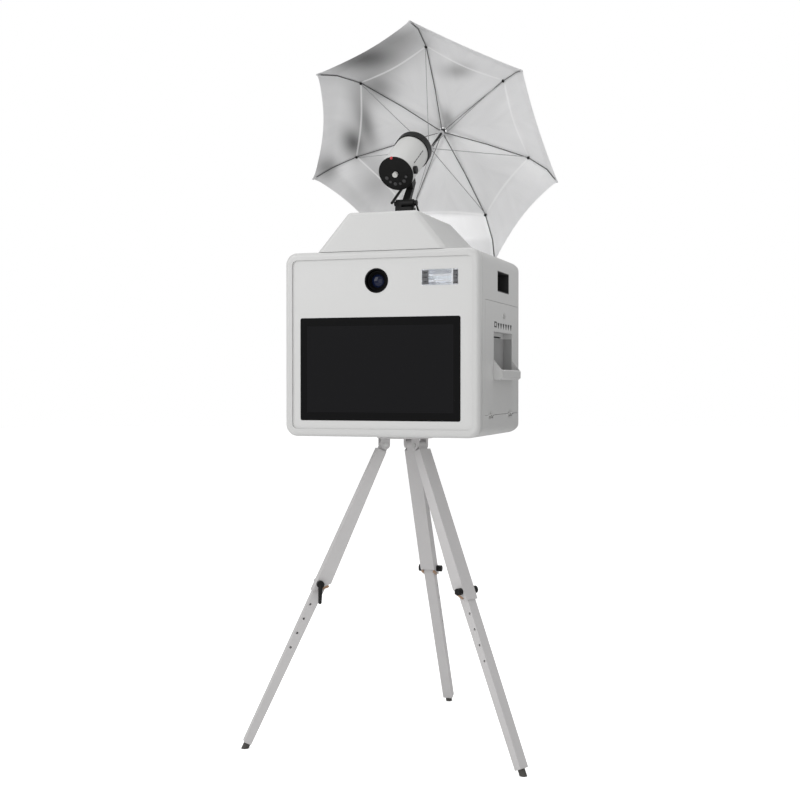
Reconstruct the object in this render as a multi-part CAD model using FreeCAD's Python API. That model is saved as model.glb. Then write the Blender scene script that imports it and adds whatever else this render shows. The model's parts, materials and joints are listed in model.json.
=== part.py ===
import FreeCAD, Part
import math
import os
from FreeCAD import Vector as V

# A photo booth on a folding tripod, with a studio strobe and a reflector umbrella on its roof.
# Units are millimetres. X is right, Y is back, Z is up. The booth is built about the stand's
# vertical axis, with the floor at Z = 0, and moved at the end so that the box round the whole
# object is centred on the Z axis.

# ---- clearances -------------------------------------------------------------------------------
RUN_FIT = 0.05          # radial gap of a turning or sliding pin
SLIDE_GAP = 0.3         # gap of a loose slide
PART_GAP = 1.0          # visible gap between a lid or door and its frame
TOUCH_GAP = 0.1         # gap between bolted pieces that only touch

# ---- case ---------------------------------------------------------------------------------------
CASE_W = 632.0
CASE_H = 575.0
CASE_FRONT = -253.0     # Y of the front rim
CASE_BACK = 280.0
CASE_BOTTOM = 998.0
CASE_TOP = CASE_BOTTOM + CASE_H
CASE_R = 37.0           # rounding of the long edges
BACK_R = 30.0           # rounding of the top and bottom rear edges
BACK_SIDE_R = 12.0      # rounding of the upright rear edges
WALL = 4.0
STIFFENER_T = 8.0       # plate on the case's floor over the tripod head
RIM = 24.0              # width of the front rim
RIM_DEPTH = 34.0
RIM_STEP = 5.0          # how far the front panel sits behind the rim
RIM_EDGE_R = 14.0       # rounding of the rim's outer front edge
SEAM_W = 1.6            # groove between the front frame and the shell
SEAM_D = 2.5
PANEL_T = 4.0

# ---- front fittings -------------------------------------------------------------------------------
SCREEN_X = -5.0
SCREEN_W = 520.7
SCREEN_H = 319.7
SCREEN_Z = 1208.0
SCREEN_R = 6.0
GLASS_T = 3.0
DISPLAY_W = 500.0
DISPLAY_H = 300.0
DISPLAY_D = 32.0
LENS_X = -13.0
LENS_Z = 1480.0
LENS_HOLE_R = 38.0
LENS_RING_R = 33.5      # inner radius of the dark ring in the hole
LENS_BARREL_R = 31.0
LENS_LENGTH = 62.0
CAMERA_W = 136.0
CAMERA_H = 98.0
CAMERA_D = 74.0
FLASH_X = 190.0
FLASH_Z = 1486.0
FLASH_W = 116.0
FLASH_H = 49.0
FLASH_D = 34.0
FLASH_END = 22.0        # width of the block at each end of the flash
TUBE_R = 5.0

# ---- right side: door, outlet, tray, handle -------------------------------------------------------
DOOR_Y0 = -186.0
DOOR_Y1 = 258.0
DOOR_Z0 = 1066.0
DOOR_Z1 = 1420.0
HINGE_Y = (-118.0, 138.0)
HINGE_LENGTH = 45.0
HINGE_KNUCKLE_R = 3.5
HINGE_PIN_R = 1.5
HINGE_LEAF_T = 2.0
HINGE_LEAF_H = 10.0
OUTLET_Y0 = -78.0
OUTLET_Y1 = 172.0
OUTLET_Z0 = 1200.0
OUTLET_Z1 = 1327.0
PAN_DEPTH = 28.0
PAN_BACK_T = 3.0
SLOT_W = 170.0          # slot that the pictures come through
SLOT_H = 3.0
SLOT_ABOVE = 112.0      # height of the slot above the outlet's lower edge
TRAY_OUT = 29.0
TRAY_WALL = 3.0
TRAY_BOTTOM = 1175.0
TRAY_LIP_TOP = 1203.0
TRAY_CHEEK_TOP = 1238.0
LOCK_Y = 57.0
LOCK_Z = 1380.0
LOCK_R = 9.0
CAM_LENGTH = 48.0
GRIP_Y0 = -29.0
GRIP_Y1 = 125.0
GRIP_Z0 = 1455.0
GRIP_Z1 = 1520.0
GRIP_D = 46.0
GRIP_WALL = 3.0

# ---- inside ---------------------------------------------------------------------------------------
PRINTER = (300.0, 262.0, 176.0)     # X, Y, Z size
PRINTER_Y = 47.0
SHELF_Z = 1398.0
SHELF_T = 4.0
PC = (180.0, 180.0, 38.0)

# ---- rear panel -----------------------------------------------------------------------------------
REAR_W = 500.0
REAR_H = 400.0
REAR_R = 12.0
REAR_Z = 1305.0
VENT_W = 150.0
VENT_H = 6.0
VENT_PITCH = 16.0
VENT_COUNT = 7
INLET_X = 180.0
INLET_Z = 1060.0
INLET_W = 28.0
INLET_H = 48.0

# ---- hood -----------------------------------------------------------------------------------------
HOOD_BOTTOM_W = 424.0
HOOD_TOP_W = 224.0
HOOD_TOP = 1695.0
HOOD_FRONT_FOOT = -246.0
HOOD_FRONT_TOP = -236.0
HOOD_BACK_TOP = 140.0
HOOD_BACK_FOOT = 250.0
HOOD_WALL = 4.0
HOOD_R = 18.0

# ---- stand ----------------------------------------------------------------------------------------
FOOT_CIRCLE_R = 523.0
LEG_HINGE_R = 70.0
LEG_HINGE_Z = 965.0
HEAD_R = 92.0
HEAD_T = 12.0
LUG_R = 15.0
LUG_T = 8.0
KNUCKLE_W = 30.0
LEG_PIN_R = 4.0
LEG_W = 48.0            # tangential width of the upper leg
LEG_OUT = 17.5          # outer face of the upper leg from the leg's line
LEG_IN_TOP = 12.5
LEG_IN_BOTTOM = 27.5
LEG_SHOULDER = 20.0     # distance of the shoulders below the hinge
LEG_UPPER_OUT = 525.0   # length of the outer side
LEG_UPPER_IN = 478.0    # length of the slanted-off inner side
SPINE_T = 3.0
COVER_T = 2.0          # thin wall that closes the inner side of the upper leg
CHANNEL_TOP = 150.0
LOWER_W = 34.0
LOWER_TOP = 395.0       # where the lower leg starts, inside the channel
LOWER_DEPTH_TOP = 28.6
LOWER_DEPTH_MID = 31.6  # where the lower leg leaves the upper one
LOWER_DEPTH_FOOT = 25.0
FOOT_R = 11.0
FOOT_LENGTH = 34.0
CLAMP_AT = 493.0        # distance of the clamp bolt below the hinge
CLAMP_U = 5.0
CLAMP_BOLT_R = 5.0
CLAMP_HUB_R = 12.0
CLAMP_HUB_L = 15.0
CLAMP_ARM = 57.0
CLAMP_NUT_R = 9.0
CLAMP_NUT_L = 16.0
HOLE_FIRST = 72.0
HOLE_PITCH = 50.0
HOLE_COUNT = 4
HOLE_R = 4.0
LEGS = (("rear", 90.0, -60.0), ("left", 210.0, 22.0), ("right", 330.0, 90.0))

# ---- strobe and its swivel ------------------------------------------------------------------------
SPIGOT_R = 8.0
SPIGOT_PLATE_R = 38.0
SPIGOT_TOP = 1730.0
BLOCK_X0 = -30.0
BLOCK_X1 = 31.0
BLOCK_Y = 20.0
BLOCK_Z0 = 1704.0
BLOCK_Z1 = 1736.0
PIVOT_Z = 1750.0
LUG_TOP_R = 13.0
ARM_X0 = -9.0
ARM_X1 = 30.0
WEB_X1 = 14.0           # right side of the web between the eye and the cradle
ARM_Y = 18.0
PIVOT_R = 4.0
CRADLE_REAR = 478.0     # distances from the hub, along the shaft
CRADLE_FRONT = 438.0
CRADLE_TOP = 30.0       # height above the shaft
HOLDER_LEFT = -12.0     # block round the umbrella shaft, seen along the shaft
HOLDER_RIGHT = 22.0
HOLDER_BOTTOM = -12.0
HOLDER_TOP = 16.0
SHAFT_EL = 33.9         # rise of the umbrella shaft and the strobe, in degrees
SHAFT_AZ = 3.96         # their turn to the right, in degrees
HUB_Y = 437.0
HUB_Z = 2068.0
SHAFT_R = 4.5
SHAFT_END = 575.0       # distance of the shaft's lower end from the umbrella's hub
STROBE_OFFSET = 64.0    # height of the strobe's axis above the shaft's axis
STROBE_R = 58.5
STROBE_REAR = 487.0     # distance of the rear face from the hub, along the shaft
STROBE_FRONT = 328.0
STROBE_WALL = 3.0
COLLAR_R = 62.0
COLLAR_L = 34.0
PANEL_DISC_R = 59.0
PANEL_DISC_T = 5.0
SIDE_KNOB_R = 13.0      # round knob on the strobe's right side
SIDE_KNOB_L = 11.0
DIAL_R = 8.5
DIAL_L = 10.0

# ---- umbrella -------------------------------------------------------------------------------------
RIB_COUNT = 7
RIB_PHASE = 85.5        # angle of the first rib about the shaft, in degrees
RING_A = 60.0           # inner ring: distance from the hub toward the handle
RING_R = 332.0          # and radius
TIP_A = 188.0
TIP_R = 463.0
RIB_PIVOT_A = 8.0
RIB_PIVOT_R = 11.0
RIB_T = 2.0
RIB_D = 3.0
STRETCHER_T = 1.6
STRETCHER_D = 2.6
STRETCHER_SIDE = 3.4    # sideways step of a stretcher from its rib's plane
EYE_R = 3.4             # far end of a stretcher, with a loose hole round the rib's stud
EYE_HOLE_R = 2.3
STUD_R = 0.9
RUNNER_A = 153.0
RUNNER_R = 8.0
RUNNER_L = 22.0
RUNNER_PIVOT_R = 11.0
HUB_R = 9.0
HUB_L = 16.0
CANOPY_T = 0.8
CANOPY_OUT = 4.6        # height of the canopy above the ribs' centre line
SEAM_SAG = 18.0         # how far the canopy dips between two ribs at the inner ring
HEM_SAG = 18.0

SHAPES = {}


def add(name, *shapes):
    """Keep the solids of one node."""
    SHAPES[name] = list(shapes)


def box(x0, x1, y0, y1, z0, z1):
    return Part.makeBox(x1 - x0, y1 - y0, z1 - z0, V(x0, y0, z0))


def rod(start, direction, radius, length):
    return Part.makeCylinder(radius, length, V(*start), V(*direction))


def prism(points, push):
    """Push a closed outline of 3-D points along a vector."""
    wire = Part.makePolygon([V(*p) for p in points] + [V(*points[0])])
    return Part.Face(wire).extrude(V(*push))


def rounded(width, height, radius, centre, x_dir, z_dir, push):
    """Push a rounded rectangle along the normal of its plane."""
    plain = Part.makeBox(width, height, push, V(-width / 2, -height / 2, 0))
    if radius > 0:
        uprights = [e for e in plain.Edges if abs(e.Vertexes[0].Z - e.Vertexes[1].Z) > push / 2]
        plain = plain.makeFillet(radius, uprights)
    normal = x_dir.cross(z_dir)
    matrix = FreeCAD.Matrix(
        x_dir.x, z_dir.x, normal.x, centre.x,
        x_dir.y, z_dir.y, normal.y, centre.y,
        x_dir.z, z_dir.z, normal.z, centre.z,
        0, 0, 0, 1)
    return placed(plain, matrix)


def placed(shape, matrix):
    """A rigid copy of a shape."""
    copy = shape.copy()
    copy.Placement = FreeCAD.Placement(matrix).multiply(copy.Placement)
    return copy


def front_slab(width, height, radius, x, y, z, depth):
    """A rounded slab whose face is upright and looks to the front, from y back to y + depth."""
    return rounded(width, height, radius, V(x, y + depth, z), V(1, 0, 0), V(0, 0, 1), depth)


def cut(shape, *tools):
    for tool in tools:
        shape = shape.cut(tool)
    return shape


def join(shape, *others):
    for other in others:
        shape = shape.fuse(other)
    return shape.removeSplitter()


def case_block(inset, y0, y1):
    """The case's rounded outer block, shrunk by an inset on every side but cut flat at y0."""
    middle = (CASE_BOTTOM + CASE_TOP) / 2
    length = CASE_BACK - CASE_FRONT
    front_view = front_slab(CASE_W - 2 * inset, CASE_H - 2 * inset, CASE_R - inset,
                            0, CASE_FRONT - 1, middle, length + 2)
    reach = length + 400
    centre_y = CASE_BACK - inset - reach / 2
    side_view = rounded(reach, CASE_H - 2 * inset, BACK_R - inset,
                        V(-CASE_W, centre_y, middle), V(0, 1, 0), V(0, 0, 1), 2 * CASE_W)
    top_view = rounded(CASE_W - 2 * inset, reach, BACK_SIDE_R - inset,
                       V(0, centre_y, CASE_BOTTOM - 1), V(1, 0, 0), V(0, 1, 0), CASE_H + 2)
    shape = front_view.common(side_view).common(top_view)
    return shape.common(box(-CASE_W, CASE_W, y0, y1, 0, 2 * CASE_TOP))


# ---- the case -----------------------------------------------------------------------------------
side = CASE_W / 2
middle_z = (CASE_BOTTOM + CASE_TOP) / 2
shell_front = CASE_FRONT + RIM_DEPTH
panel_y = CASE_FRONT + RIM_STEP

rim = front_slab(CASE_W, CASE_H, CASE_R, 0, CASE_FRONT, middle_z, RIM_DEPTH - TOUCH_GAP)
front_edges = [e for e in rim.Edges
               if all(abs(v.Y - CASE_FRONT) < 0.01 for v in e.Vertexes)]
rim = rim.makeFillet(RIM_EDGE_R, front_edges)
window = (CASE_W - 2 * RIM, CASE_H - 2 * RIM, CASE_R - RIM + 4)
rim = rim.cut(front_slab(*window, 0, CASE_FRONT - 1, middle_z, RIM_DEPTH + 2))
seam = front_slab(CASE_W + 10, CASE_H + 10, CASE_R, 0, shell_front - SEAM_W, middle_z, SEAM_W)
seam = seam.cut(front_slab(CASE_W - 2 * SEAM_D, CASE_H - 2 * SEAM_D, CASE_R - SEAM_D,
                           0, shell_front - SEAM_W - 1, middle_z, SEAM_W + 2))
rim = rim.cut(seam)
ledge = front_slab(window[0], window[1], window[2], 0, panel_y + PANEL_T + TOUCH_GAP, middle_z, 6)
ledge = ledge.cut(front_slab(window[0] - 24, window[1] - 24, window[2], 0, panel_y, middle_z, 30))
add("front_frame", join(rim, ledge))

panel = front_slab(window[0] - 2 * TOUCH_GAP, window[1] - 2 * TOUCH_GAP, window[2],
                   0, panel_y, middle_z, PANEL_T)
panel = cut(
    panel,
    front_slab(SCREEN_W + 2 * TOUCH_GAP, SCREEN_H + 2 * TOUCH_GAP, SCREEN_R,
               SCREEN_X, panel_y - 1, SCREEN_Z, PANEL_T + 2),
    rod((LENS_X, panel_y - 1, LENS_Z), (0, 1, 0), LENS_HOLE_R + TOUCH_GAP, PANEL_T + 2),
    front_slab(FLASH_W + 2 * TOUCH_GAP, FLASH_H + 2 * TOUCH_GAP, 3.0,
               FLASH_X, panel_y - 1, FLASH_Z, PANEL_T + 2))
add("front_panel", panel)

add("screen_glass",
    front_slab(SCREEN_W, SCREEN_H, SCREEN_R, SCREEN_X, panel_y - 0.5, SCREEN_Z, GLASS_T + 1))
display_y = panel_y + PANEL_T + 2 * TOUCH_GAP
display = front_slab(DISPLAY_W, DISPLAY_H, 4.0, SCREEN_X, display_y, SCREEN_Z, DISPLAY_D)
lugs = [front_slab(40, DISPLAY_H + 40, 4.0, SCREEN_X + x, display_y, SCREEN_Z, 3.0) for x in (-150, 150)]
add("display_module", join(display, *lugs))

# the dark ring that lines the camera hole, then the camera behind it
ring = rod((LENS_X, panel_y - 1.0, LENS_Z), (0, 1, 0), LENS_HOLE_R, 24)
ring = ring.fuse(rod((LENS_X, panel_y + PANEL_T + TOUCH_GAP, LENS_Z), (0, 1, 0), LENS_HOLE_R + 8, 5))
ring = ring.cut(rod((LENS_X, panel_y - 2, LENS_Z), (0, 1, 0), LENS_RING_R, 30)).removeSplitter()
lens_y = panel_y + 9.0
barrel = rod((LENS_X, lens_y, LENS_Z), (0, 1, 0), LENS_BARREL_R, LENS_LENGTH)
barrel = cut(
    barrel,
    Part.makeCone(LENS_BARREL_R - 3, LENS_BARREL_R - 9, 10, V(LENS_X, lens_y - 0.01, LENS_Z), V(0, 1, 0)),
    rod((LENS_X, lens_y + 34, LENS_Z), (0, 1, 0), LENS_BARREL_R + 1, 2).cut(
        rod((LENS_X, lens_y + 34, LENS_Z), (0, 1, 0), LENS_BARREL_R - 1, 2)))
add("camera_lens", ring, barrel)
body_y = lens_y + LENS_LENGTH + TOUCH_GAP
camera = box(LENS_X - CAMERA_W / 2, LENS_X + CAMERA_W / 2, body_y, body_y + CAMERA_D,
             LENS_Z - CAMERA_H / 2, LENS_Z + CAMERA_H / 2)
camera = camera.makeFillet(10, [e for e in camera.Edges if abs(e.Vertexes[0].Z - e.Vertexes[1].Z) > 50])
prism_top = prism([(LENS_X - 32, body_y + 6, LENS_Z + CAMERA_H / 2 - 1),
                   (LENS_X + 32, body_y + 6, LENS_Z + CAMERA_H / 2 - 1),
                   (LENS_X + 20, body_y + 6, LENS_Z + CAMERA_H / 2 + 18),
                   (LENS_X - 20, body_y + 6, LENS_Z + CAMERA_H / 2 + 18)], (0, 42, 0))
foot_block = box(LENS_X - 30, LENS_X + 30, body_y + 10, body_y + 60,
                 SHELF_Z + SHELF_T + TOUCH_GAP, LENS_Z - CAMERA_H / 2 + 1)
add("camera_body", join(camera, prism_top, foot_block))

# the flash in the front panel: clear window, bright tray with end blocks, and the tube
flash_back = panel_y + FLASH_D
add("flash_window", front_slab(FLASH_W, FLASH_H, 3.0, FLASH_X, panel_y - 0.5, FLASH_Z, 3.0))
tray_y = panel_y + PANEL_T + TOUCH_GAP
flash_pan = box(FLASH_X - FLASH_W / 2 - 6, FLASH_X + FLASH_W / 2 + 6, tray_y, flash_back,
                FLASH_Z - FLASH_H / 2 - 6, FLASH_Z + FLASH_H / 2 + 6)
half = FLASH_H / 2 - 1
hollow = prism([(FLASH_X - FLASH_W / 2 + FLASH_END, tray_y - 1, FLASH_Z - half),
                (FLASH_X - FLASH_W / 2 + FLASH_END, tray_y - 1, FLASH_Z + half),
                (FLASH_X - FLASH_W / 2 + FLASH_END, flash_back - 3, FLASH_Z + half / 2),
                (FLASH_X - FLASH_W / 2 + FLASH_END, flash_back - 3, FLASH_Z - half / 2)],
               (FLASH_W - 2 * FLASH_END, 0, 0))
tube_y = tray_y + 14
tube_length = FLASH_W - 2 * FLASH_END + 16
tube = rod((FLASH_X - tube_length / 2, tube_y, FLASH_Z), (1, 0, 0), TUBE_R, tube_length)
sockets = rod((FLASH_X - tube_length / 2 - 0.2, tube_y, FLASH_Z), (1, 0, 0), TUBE_R + 0.2, tube_length + 0.4)
add("flash_reflector", cut(flash_pan, hollow, sockets))
add("flash_tube", tube)

# the shell behind the rim, open for the door, the handles and the rear panel
shell = case_block(0, shell_front, CASE_BACK).cut(case_block(WALL, shell_front - 1, CASE_BACK - WALL))
door_opening = box(side - 40, side + 10, DOOR_Y0 - PART_GAP, DOOR_Y1 + PART_GAP,
                   DOOR_Z0 - PART_GAP, DOOR_Z1 + PART_GAP)
grip_span = box(-side - 10, side + 10, GRIP_Y0 - TOUCH_GAP, GRIP_Y1 + TOUCH_GAP,
                GRIP_Z0 - TOUCH_GAP, GRIP_Z1 + TOUCH_GAP)
rear_opening = front_slab(REAR_W, REAR_H, REAR_R, 0, CASE_BACK - 20, REAR_Z, 40)
rear_rebate = front_slab(REAR_W + 24, REAR_H + 24, REAR_R, 0, CASE_BACK - 2, REAR_Z, 10)
inlet_hole = box(INLET_X - INLET_W / 2 - TOUCH_GAP, INLET_X + INLET_W / 2 + TOUCH_GAP,
                 CASE_BACK - 20, CASE_BACK + 5,
                 INLET_Z - INLET_H / 2 - TOUCH_GAP, INLET_Z + INLET_H / 2 + TOUCH_GAP)
stud_hole = rod((0, 0, CASE_BOTTOM - 5), (0, 0, 1), 6.0 + TOUCH_GAP, 20)
cable_hole = rod((-60, 60, CASE_TOP - 10), (0, 0, 1), 12, 20)
stiffener = box(-110, 110, -110, 110, CASE_BOTTOM + WALL - 0.5, CASE_BOTTOM + WALL + STIFFENER_T)
shell = join(shell, stiffener)
shell = cut(shell, door_opening, grip_span, rear_opening, rear_rebate, inlet_hole, stud_hole, cable_hole)

rear = front_slab(REAR_W + 24 - 2 * TOUCH_GAP, REAR_H + 24 - 2 * TOUCH_GAP, REAR_R, 0,
                  CASE_BACK - 2 + TOUCH_GAP, REAR_Z, 3.0)
screws = []
screw_x = REAR_W / 2 + 5
for i in range(6):
    x = screw_x if i % 2 else -screw_x
    z = REAR_Z + (i // 2 - 1) * (REAR_H / 2 - 20)
    rear = rear.cut(rod((x, CASE_BACK - 5, z), (0, 1, 0), 2.0 + TOUCH_GAP, 20))
    shank = rod((x, CASE_BACK - WALL - 4, z), (0, 1, 0), 2.0, WALL + 6)
    shell = shell.cut(rod((x, CASE_BACK - 20, z), (0, 1, 0), 2.0 + TOUCH_GAP, 20))
    head = rod((x, CASE_BACK + 1 + 2 * TOUCH_GAP, z), (0, 1, 0), 4.5, 2.4)
    slot = box(x - 6, x + 6, CASE_BACK + 2.6, CASE_BACK + 6, z - 0.6, z + 0.6)
    screws.append(shank.fuse(head).removeSplitter().cut(slot))
for column in (-1, 1):
    for row in range(VENT_COUNT):
        z = REAR_Z + 80 + (row - (VENT_COUNT - 1) / 2) * VENT_PITCH
        rear = rear.cut(front_slab(VENT_W, VENT_H, 2.9, column * 115, CASE_BACK - 5, z, 15))
add("body_shell", shell)
add("rear_panel", rear)

# power inlet with a rocker switch above its socket
inlet = box(INLET_X - INLET_W / 2, INLET_X + INLET_W / 2, CASE_BACK - 24, CASE_BACK,
            INLET_Z - INLET_H / 2, INLET_Z + INLET_H / 2)
flange = box(INLET_X - INLET_W / 2 - 8, INLET_X + INLET_W / 2 + 8, CASE_BACK + TOUCH_GAP, CASE_BACK + 2.5,
             INLET_Z - INLET_H / 2 - 4, INLET_Z + INLET_H / 2 + 4)
bridge = box(INLET_X - INLET_W / 2, INLET_X + INLET_W / 2, CASE_BACK - 1, CASE_BACK + 1,
             INLET_Z - INLET_H / 2, INLET_Z + INLET_H / 2)
socket = front_slab(22, 16, 4, INLET_X, CASE_BACK - 15, INLET_Z - 11, 30)
blades = [box(INLET_X + x - 0.8, INLET_X + x + 0.8, CASE_BACK - 16, CASE_BACK - 2,
              INLET_Z - 11 + z - 2, INLET_Z - 11 + z + 2) for x, z in ((-6, -2), (6, -2), (0, 3))]
switch = front_slab(19, 13, 1.5, INLET_X, CASE_BACK - 1, INLET_Z + 13, 5.5)
add("power_inlet", join(join(inlet, flange, bridge).cut(socket), switch, *blades))

# carry handles: a cup behind an opening in each side wall
cups = []
for sign in (-1, 1):
    face = sign * side
    inner = sign * (side - GRIP_D)
    x0, x1 = min(face, inner), max(face, inner)
    cup = box(x0, x1, GRIP_Y0, GRIP_Y1, GRIP_Z0, GRIP_Z1)
    cavity_x0 = x0 - 1 if sign < 0 else x0 + GRIP_WALL
    cavity_x1 = x1 - GRIP_WALL if sign < 0 else x1 + 1
    cavity = box(cavity_x0, cavity_x1, GRIP_Y0 + GRIP_WALL, GRIP_Y1 - GRIP_WALL,
                 GRIP_Z0 + GRIP_WALL, GRIP_Z1 - GRIP_WALL)
    cups.append(cup.cut(cavity))
add("grip_cups", *cups)

# ---- the door, its hinges, lock and tray ---------------------------------------------------------
door = box(side - WALL, side, DOOR_Y0, DOOR_Y1, DOOR_Z0, DOOR_Z1)
outlet = box(side - 20, side + 20, OUTLET_Y0, OUTLET_Y1, OUTLET_Z0, OUTLET_Z1)
lock_hole = rod((side - 20, LOCK_Y, LOCK_Z), (1, 0, 0), LOCK_R - 2 + RUN_FIT, 40)
axis_x = side + HINGE_KNUCKLE_R + 0.5
axis_z = DOOR_Z0 - PART_GAP / 2
door = cut(door, outlet, lock_hole)
# behind the outlet, a shallow pan whose back has a slot for the pictures
pan_back = side - WALL - PAN_DEPTH
pan = box(pan_back, side - WALL + 1, OUTLET_Y0 - 3, OUTLET_Y1 + 3, OUTLET_Z0 - 3, OUTLET_Z1 + 3)
pan = pan.cut(box(pan_back + PAN_BACK_T, side + 20, OUTLET_Y0, OUTLET_Y1, OUTLET_Z0, OUTLET_Z1))
slot_z = OUTLET_Z0 + SLOT_ABOVE
picture_slot = box(pan_back - 1, pan_back + PAN_BACK_T + 1,
                   PRINTER_Y - SLOT_W / 2, PRINTER_Y + SLOT_W / 2, slot_z - 1, slot_z + SLOT_H + 1)
door = join(door, pan.cut(picture_slot))
fixed_leaves = []
for y in HINGE_Y:
    third = HINGE_LENGTH / 3
    for k in range(3):
        y0 = y - HINGE_LENGTH / 2 + k * third + 0.2
        length = third - 0.4
        knuckle = rod((axis_x, y0, axis_z), (0, 1, 0), HINGE_KNUCKLE_R, length)
        if k == 1:
            leaf = box(side - TOUCH_GAP, side + HINGE_LEAF_T, y0, y0 + length, axis_z, axis_z + HINGE_LEAF_H)
            knuckle = cut(knuckle.fuse(leaf),
                          rod((axis_x, y0 - 1, axis_z), (0, 1, 0), HINGE_PIN_R + RUN_FIT, length + 2))
            door = door.fuse(knuckle)
        else:
            leaf = box(side + TOUCH_GAP, side + HINGE_LEAF_T, y0, y0 + length, axis_z - HINGE_LEAF_H, axis_z)
            fixed_leaves.append(knuckle.fuse(leaf).removeSplitter())
    pin = rod((axis_x, y - HINGE_LENGTH / 2 - 1, axis_z), (0, 1, 0), HINGE_PIN_R, HINGE_LENGTH + 2)
    fixed_leaves[-1] = fixed_leaves[-1].fuse(pin).fuse(fixed_leaves[-2]).removeSplitter()
    fixed_leaves.pop(-2)
add("side_door", door.removeSplitter())
add("door_hinges", *fixed_leaves)

x_in = side + TOUCH_GAP
x_out = side + TRAY_OUT
outline = [(x_in, OUTLET_Y0 - TRAY_WALL, TRAY_BOTTOM), (x_out - 8, OUTLET_Y0 - TRAY_WALL, TRAY_BOTTOM),
           (x_out, OUTLET_Y0 - TRAY_WALL, TRAY_BOTTOM + 6), (x_out, OUTLET_Y0 - TRAY_WALL, TRAY_LIP_TOP),
           (x_in, OUTLET_Y0 - TRAY_WALL, TRAY_CHEEK_TOP)]
scoop = prism(outline, (0, OUTLET_Y1 - OUTLET_Y0 + 2 * TRAY_WALL, 0))
inside = [(x_in + TRAY_WALL, OUTLET_Y0, TRAY_BOTTOM + TRAY_WALL),
          (x_out - 8 - TRAY_WALL / 2, OUTLET_Y0, TRAY_BOTTOM + TRAY_WALL),
          (x_out - TRAY_WALL, OUTLET_Y0, TRAY_BOTTOM + 8),
          (x_out - TRAY_WALL, OUTLET_Y0, TRAY_CHEEK_TOP + 5), (x_in + TRAY_WALL, OUTLET_Y0, TRAY_CHEEK_TOP + 5)]
scoop = scoop.cut(prism(inside, (0, OUTLET_Y1 - OUTLET_Y0, 0)))
scoop = scoop.cut(box(x_in - 1, x_in + TRAY_WALL + 1, OUTLET_Y0, OUTLET_Y1, OUTLET_Z0, TRAY_CHEEK_TOP + 5))
add("catch_tray", scoop)

lock = rod((side + 0.3, LOCK_Y, LOCK_Z), (1, 0, 0), LOCK_R, 3.0)
lock = lock.fuse(rod((side - 14, LOCK_Y, LOCK_Z), (1, 0, 0), LOCK_R - 2, 15))
keyway = box(side + 1.5, side + 5, LOCK_Y - 1, LOCK_Y + 1, LOCK_Z - 4, LOCK_Z + 4)
cam = box(side - 13, side - 10, LOCK_Y - CAM_LENGTH, LOCK_Y + 6, LOCK_Z - 6, LOCK_Z + 6)
add("door_lock", lock.fuse(cam).removeSplitter().cut(keyway))

# ---- inside ---------------------------------------------------------------------------------------
printer_x1 = side - WALL - 30
printer_x0 = printer_x1 - PRINTER[0]
printer = box(printer_x0, printer_x1, PRINTER_Y - PRINTER[1] / 2, PRINTER_Y + PRINTER[1] / 2,
              OUTLET_Z0 - 30, OUTLET_Z0 - 30 + PRINTER[2])
printer_slot = box(printer_x1 - 60, printer_x1 + 5, PRINTER_Y - SLOT_W / 2, PRINTER_Y + SLOT_W / 2,
                   slot_z, slot_z + SLOT_H)
floor_z = CASE_BOTTOM + WALL + TOUCH_GAP
printer_stand = [box(x, x + 20, PRINTER_Y - PRINTER[1] / 2 + 10, PRINTER_Y + PRINTER[1] / 2 - 10,
                     foot_z, OUTLET_Z0 - 29)
                 for x, foot_z in ((printer_x0 + 2, floor_z + STIFFENER_T), (printer_x1 - 30, floor_z))]
add("printer", join(printer.cut(printer_slot), *printer_stand))
shelf_edge = side - WALL - 2
shelf = box(-shelf_edge, side - GRIP_D - 8, shell_front + 40, CASE_BACK - 60, SHELF_Z, SHELF_Z + SHELF_T)
ears = [box(x0, x1, shell_front + 60, CASE_BACK - 80, SHELF_Z - 20, SHELF_Z + 1)
        for x0, x1 in ((-shelf_edge, -shelf_edge + 3),)]
posts = [box(-shelf_edge + 6, -shelf_edge + 20, y, y + 14, CASE_BOTTOM + WALL + TOUCH_GAP + 25, SHELF_Z + 1)
         for y in (shell_front + 60, CASE_BACK - 100)]
add("shelf", join(shelf, *ears, *posts))
pc_z = SHELF_Z + SHELF_T + TOUCH_GAP
pc = box(-120, -120 + PC[0], 20, 20 + PC[1], pc_z, pc_z + PC[2])
add("mini_pc", pc.makeFillet(6, [e for e in pc.Edges if abs(e.Vertexes[0].Z - e.Vertexes[1].Z) > 20]))

# ---- the hood on the roof --------------------------------------------------------------------------
def hood_block(inset, drop, radius):
    """The hood's wedge-shaped block, shrunk by an inset on its five upper faces."""
    low = CASE_TOP + TOUCH_GAP - drop
    front = prism([(-HOOD_BOTTOM_W / 2 + inset, HOOD_FRONT_FOOT - 50, low),
                   (HOOD_BOTTOM_W / 2 - inset, HOOD_FRONT_FOOT - 50, low),
                   (HOOD_TOP_W / 2 - inset, HOOD_FRONT_FOOT - 50, HOOD_TOP - inset),
                   (-HOOD_TOP_W / 2 + inset, HOOD_FRONT_FOOT - 50, HOOD_TOP - inset)], (0, 900, 0))
    profile = prism([(-CASE_W, HOOD_FRONT_FOOT + inset, low),
                     (-CASE_W, HOOD_FRONT_TOP + inset, HOOD_TOP - inset),
                     (-CASE_W, HOOD_BACK_TOP - inset / 2, HOOD_TOP - inset),
                     (-CASE_W, HOOD_BACK_FOOT - inset, low)], (2 * CASE_W, 0, 0))
    shape = front.common(profile)
    upper = [e for e in shape.Edges if max(v.Z for v in e.Vertexes) > low + 1]
    return shape.makeFillet(radius, upper)


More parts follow.
